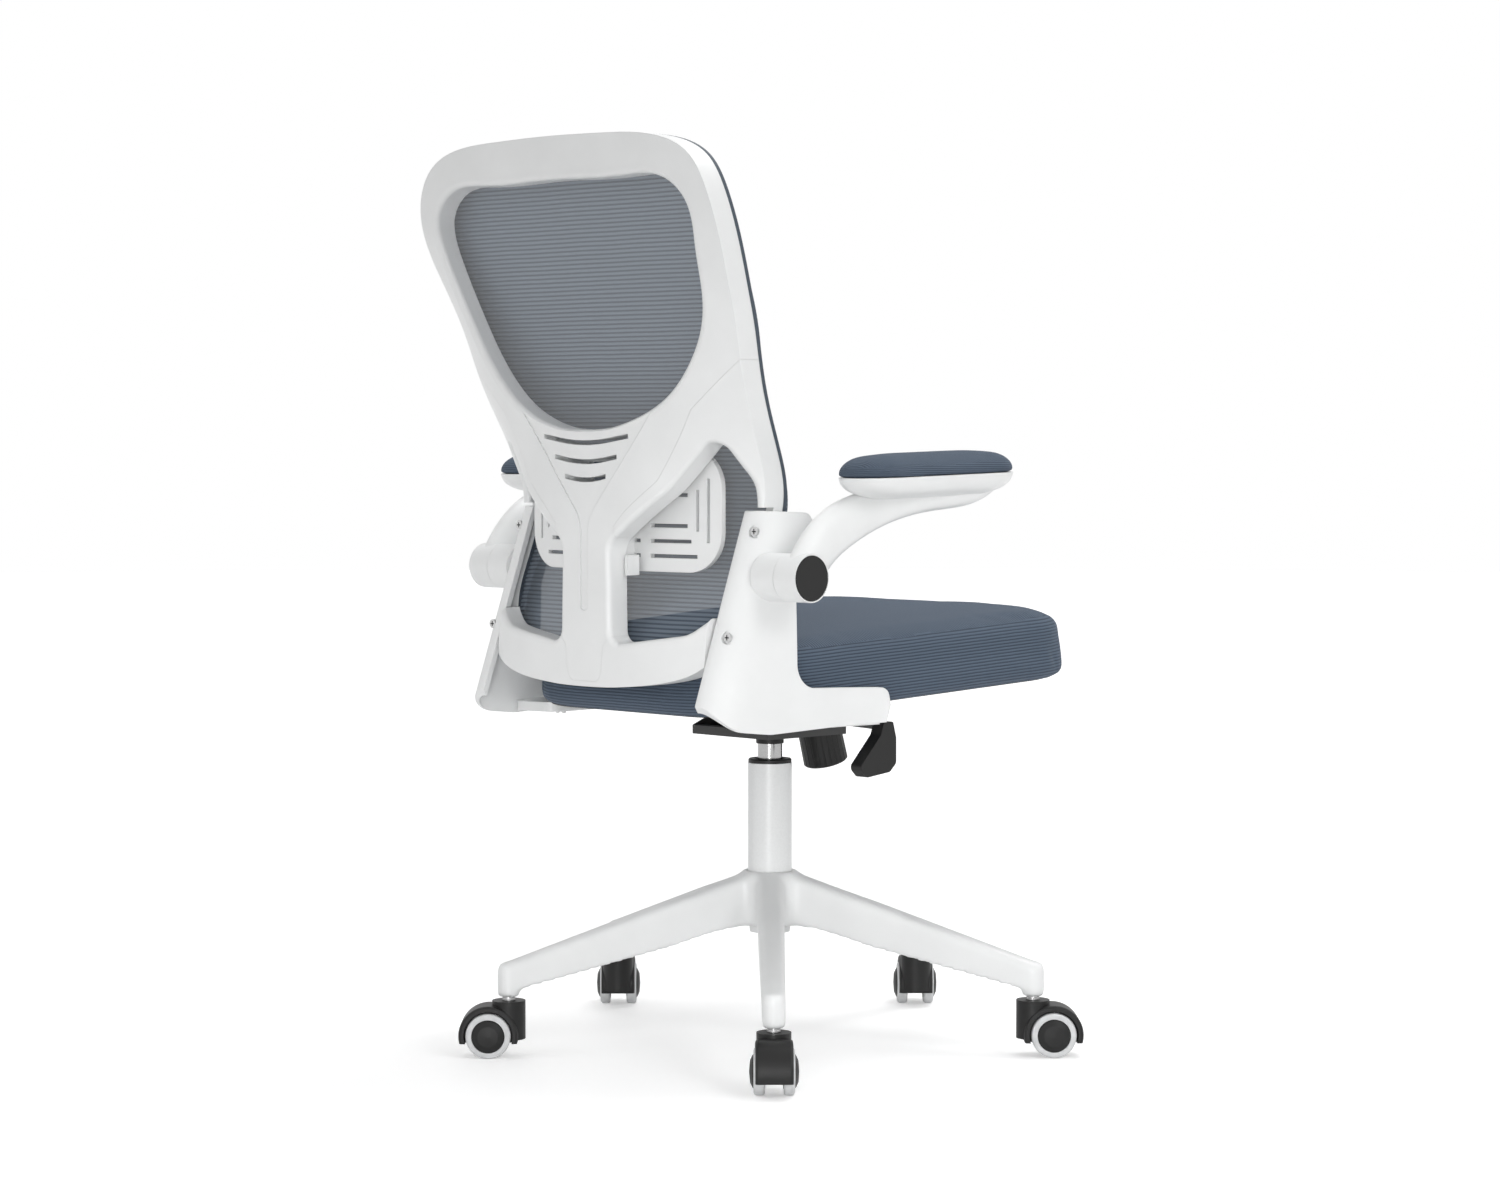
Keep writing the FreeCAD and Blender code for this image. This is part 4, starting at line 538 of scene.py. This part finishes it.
def hem_net(build):
    """Turns the net's border back on to the carrier, over a small roll."""
    border = [edge for edge in build.edges if edge.is_boundary]
    turned_back = bmesh.ops.extrude_edge_only(build, edges=border)["geom"]
    for vertex in (part for part in turned_back if isinstance(part, bmesh.types.BMVert)):
        vertex.co.y = carrier_front(vertex.co.x / MM, vertex.co.z / MM) * MM
    rounded(build, border, NET_HEM_ROLL * MM, 2, "EDGES")


def make_net():
    """The stretched sheet, laid in rings from its middle out to the loop's edge."""
    edge = outline_points(NET_MARGIN)
    centre = Vector((0, NET_MIDDLE))
    build = bmesh.new()
    rows = []
    for ring in range(1, NET_RINGS + 1):
        row = [centre + (point - centre) * (ring / NET_RINGS) for point in edge]
        rows.append([build.verts.new(Vector((x, net_depth(x, z), z)) * MM) for x, z in row])
    hub = build.verts.new(Vector((0, net_depth(0, NET_MIDDLE), NET_MIDDLE)) * MM)
    for i in range(len(edge)):
        after = (i + 1) % len(edge)
        build.faces.new((hub, rows[0][i], rows[0][after]))
        for inner, outer in zip(rows, rows[1:]):
            build.faces.new((inner[i], outer[i], outer[after], inner[after]))
    hem_net(build)
    bmesh.ops.recalc_face_normals(build, faces=build.faces)
    thing = new_piece("back_cloth", as_mesh(build, "back_cloth"), "mesh")
    weave(thing, lambda point, face: (point.x, point.z))
    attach(thing, "seat")
    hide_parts("back_mesh")


# Tension spring

SPRING_LEAN = math.radians(16)
SPRING_FOOT = (0, -86.97, 323.57)
SPRING_TURNS, SPRING_STEPS = 7, 20
SPRING_RISE, SPRING_RADIUS = 48, 10.5
SPRING_WIRE, SPRING_WIRE_SIDES = 1.5, 10


def make_coil():
    """The real coil in place of the plain sleeve."""
    up = Vector((0, math.sin(SPRING_LEAN), math.cos(SPRING_LEAN)))
    foot = Vector(SPRING_FOOT) * MM
    steps = SPRING_TURNS * SPRING_STEPS
    build = bmesh.new()
    beside = Matrix.Translation(foot + Vector((SPRING_RADIUS * MM, 0, 0)))
    upright = Matrix.Rotation(math.pi / 2 - SPRING_LEAN, 4, "X")
    bmesh.ops.create_circle(build, segments=SPRING_WIRE_SIDES, radius=SPRING_WIRE * MM,
                            matrix=beside @ upright)
    bmesh.ops.spin(build, geom=build.verts[:] + build.edges[:], cent=foot, axis=up, steps=steps,
                   angle=2 * math.pi * SPRING_TURNS, dvec=up * (SPRING_RISE * MM / steps))
    bmesh.ops.holes_fill(build, edges=[edge for edge in build.edges if edge.is_boundary])
    bmesh.ops.recalc_face_normals(build, faces=build.faces)
    thing = new_piece("tension_coil", as_mesh(build, "tension_coil"), "bright_steel")
    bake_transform(thing)
    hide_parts("tension_spring")


# Screw recesses, as painted shade

SCREW_X, SCREW_ROWS, SCREW_STAND = 191, (477, 587), 2.4
FLANGE_Y, FLANGE_Z, FLANGE_LEAN = 263, 443, 0.356
CROSS_LONG, CROSS_WIDE, CROSS_DEEP = 5.8, 1.3, 0.3


def make_screw_recesses():
    """A flat dark cross on each of the four screw heads: painted shade in place of the shade inside a cut
    cross recess.
    """
    build = bmesh.new()
    for x in (-SCREW_X, SCREW_X):
        for z in SCREW_ROWS:
            face = FLANGE_Y - (z - FLANGE_Z) * FLANGE_LEAN - SCREW_STAND
            for size in ((CROSS_LONG, CROSS_DEEP, CROSS_WIDE), (CROSS_WIDE, CROSS_DEEP, CROSS_LONG)):
                place = Matrix.Translation(Vector((x, face, z)) * MM)
                bmesh.ops.create_cube(build, size=MM, matrix=place @ Matrix.Diagonal((*size, 1)))
    # painted shade: thin dark crosses stand in for the shadowed cross recesses
    thing = new_piece("screw_recess_shade", as_mesh(build, "screw_recess_shade", smooth=False), "black_steel")
    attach(thing, "seat")


# Stage

PURE_WHITE, FLOOR_PAPER = "#FFFFFF", "#EEEEEE"
ROOM_LEVEL = 0.55
FLOOR_RADIUS, FLOOR_SIDES = 14.0, 96
FLOOR_NEAR, FLOOR_FAR = 0.38, 0.62
FLOOR_GLOW_START, FLOOR_GLOW_END = 0.6, 4.5


def background_rays(tree):
    """One for what the camera sees straight, mirrored or through glass, nothing for light on the chair."""
    path = node(tree, "ShaderNodeLightPath", {}).outputs
    mirrored = node(tree, "ShaderNodeMath", {0: path["Is Camera Ray"], 1: path["Is Glossy Ray"]},
                    operation="MAXIMUM")
    return node(tree, "ShaderNodeMath", {0: mirrored.outputs[0], 1: path["Is Transmission Ray"]},
                operation="MAXIMUM").outputs[0]


def make_floor():
    """A white sheet that keeps the chair's shadow and grows brighter away from it, into the backdrop."""
    build = bmesh.new()
    bmesh.ops.create_circle(build, cap_ends=True, segments=FLOOR_SIDES, radius=FLOOR_RADIUS)
    mesh = as_mesh(build, "studio_floor", smooth=False)
    floor = bpy.data.objects.new("studio_floor", mesh)
    bpy.context.scene.collection.objects.link(floor)
    material, tree, place = new_material("studio_paper")
    reach = node(tree, "ShaderNodeVectorMath", {0: place}, operation="LENGTH")
    glow = node(tree, "ShaderNodeMapRange",
                {"Value": reach.outputs["Value"], "From Min": FLOOR_GLOW_START, "From Max": FLOOR_GLOW_END,
                 "To Min": FLOOR_NEAR, "To Max": FLOOR_FAR}, interpolation_type="SMOOTHSTEP")
    seen = node(tree, "ShaderNodeMath", {0: glow.outputs[0], 1: background_rays(tree)},
                operation="MULTIPLY")
    finish_material(tree, {"Base Color": linear(FLOOR_PAPER), "Roughness": 0.6,
                           "Emission Color": linear(PURE_WHITE), "Emission Strength": seen.outputs[0]})
    mesh.materials.append(material)


def make_backdrop():
    """A room that the camera sees as pure white and the chair is lit by more softly."""
    world = bpy.data.worlds.new("studio")
    bpy.context.scene.world = world
    world.use_nodes = True
    tree = world.node_tree
    tree.nodes.clear()
    room = node(tree, "ShaderNodeBackground", {"Color": linear(PURE_WHITE), "Strength": ROOM_LEVEL})
    backdrop = node(tree, "ShaderNodeBackground", {"Color": linear(PURE_WHITE), "Strength": 1.0})
    both = node(tree, "ShaderNodeMixShader", {"Fac": background_rays(tree), 1: room.outputs[0],
                                              2: backdrop.outputs[0]})
    node(tree, "ShaderNodeOutputWorld", {"Surface": both.outputs[0]})


def area_light(name, place, target, size, power, spread=180):
    """A round soft box turned to a target."""
    data = bpy.data.lights.new(name, "AREA")
    data.shape = "DISK"
    data.size = size
    data.energy = power
    data.spread = math.radians(spread)
    lamp = bpy.data.objects.new(name, data)
    bpy.context.scene.collection.objects.link(lamp)
    lamp.location = place
    lamp.rotation_euler = (Vector(target) - Vector(place)).to_track_quat("-Z", "Y").to_euler()


def make_lamps():
    """A key from the chair's right, a weak fill behind, one overhead, and a narrow one for the base."""
    area_light("key", place=(-3.4, 0.2, 2.4), target=(0, 0.1, 0.6), size=1.4, power=30)
    area_light("fill", place=(1.4, 3.4, 1.9), target=(0, 0.1, 0.6), size=2.2, power=9)
    area_light("top", place=(-0.3, -0.9, 3.2), target=(0, 0, 0.5), size=1.6, power=38)
    area_light("base_fill", place=(-2.2, 2.6, 0.45), target=(0, 0, 0.15), size=0.8, power=1.9, spread=40)


CAMERA_PLACE = (-2.8462, 2.7673, 0.6886)
CAMERA_HEADING = (0.7209, -0.6930, 0.0)
CAMERA_PITCH = 0.0470
CAMERA_LENS, CAMERA_SENSOR = 84.39, 36.0


def make_camera():
    """Stands behind the chair's right arm, a little above the seat, as the photograph was taken."""
    data = bpy.data.cameras.new("camera")
    data.sensor_fit = "HORIZONTAL"
    data.sensor_width = CAMERA_SENSOR
    data.lens = CAMERA_LENS
    camera = bpy.data.objects.new("camera", data)
    bpy.context.scene.collection.objects.link(camera)
    away = Vector(CAMERA_HEADING) * math.cos(CAMERA_PITCH) - Vector((0, 0, math.sin(CAMERA_PITCH)))
    camera.location = CAMERA_PLACE
    camera.rotation_euler = away.to_track_quat("-Z", "Y").to_euler()
    bpy.context.scene.camera = camera


paint_nodes()
make_cushion()
make_arm_pads()
make_base()
make_net()
make_coil()
make_screw_recesses()
make_floor()
make_backdrop()
make_lamps()
make_camera()
bpy.context.scene.view_settings.view_transform = "Standard"
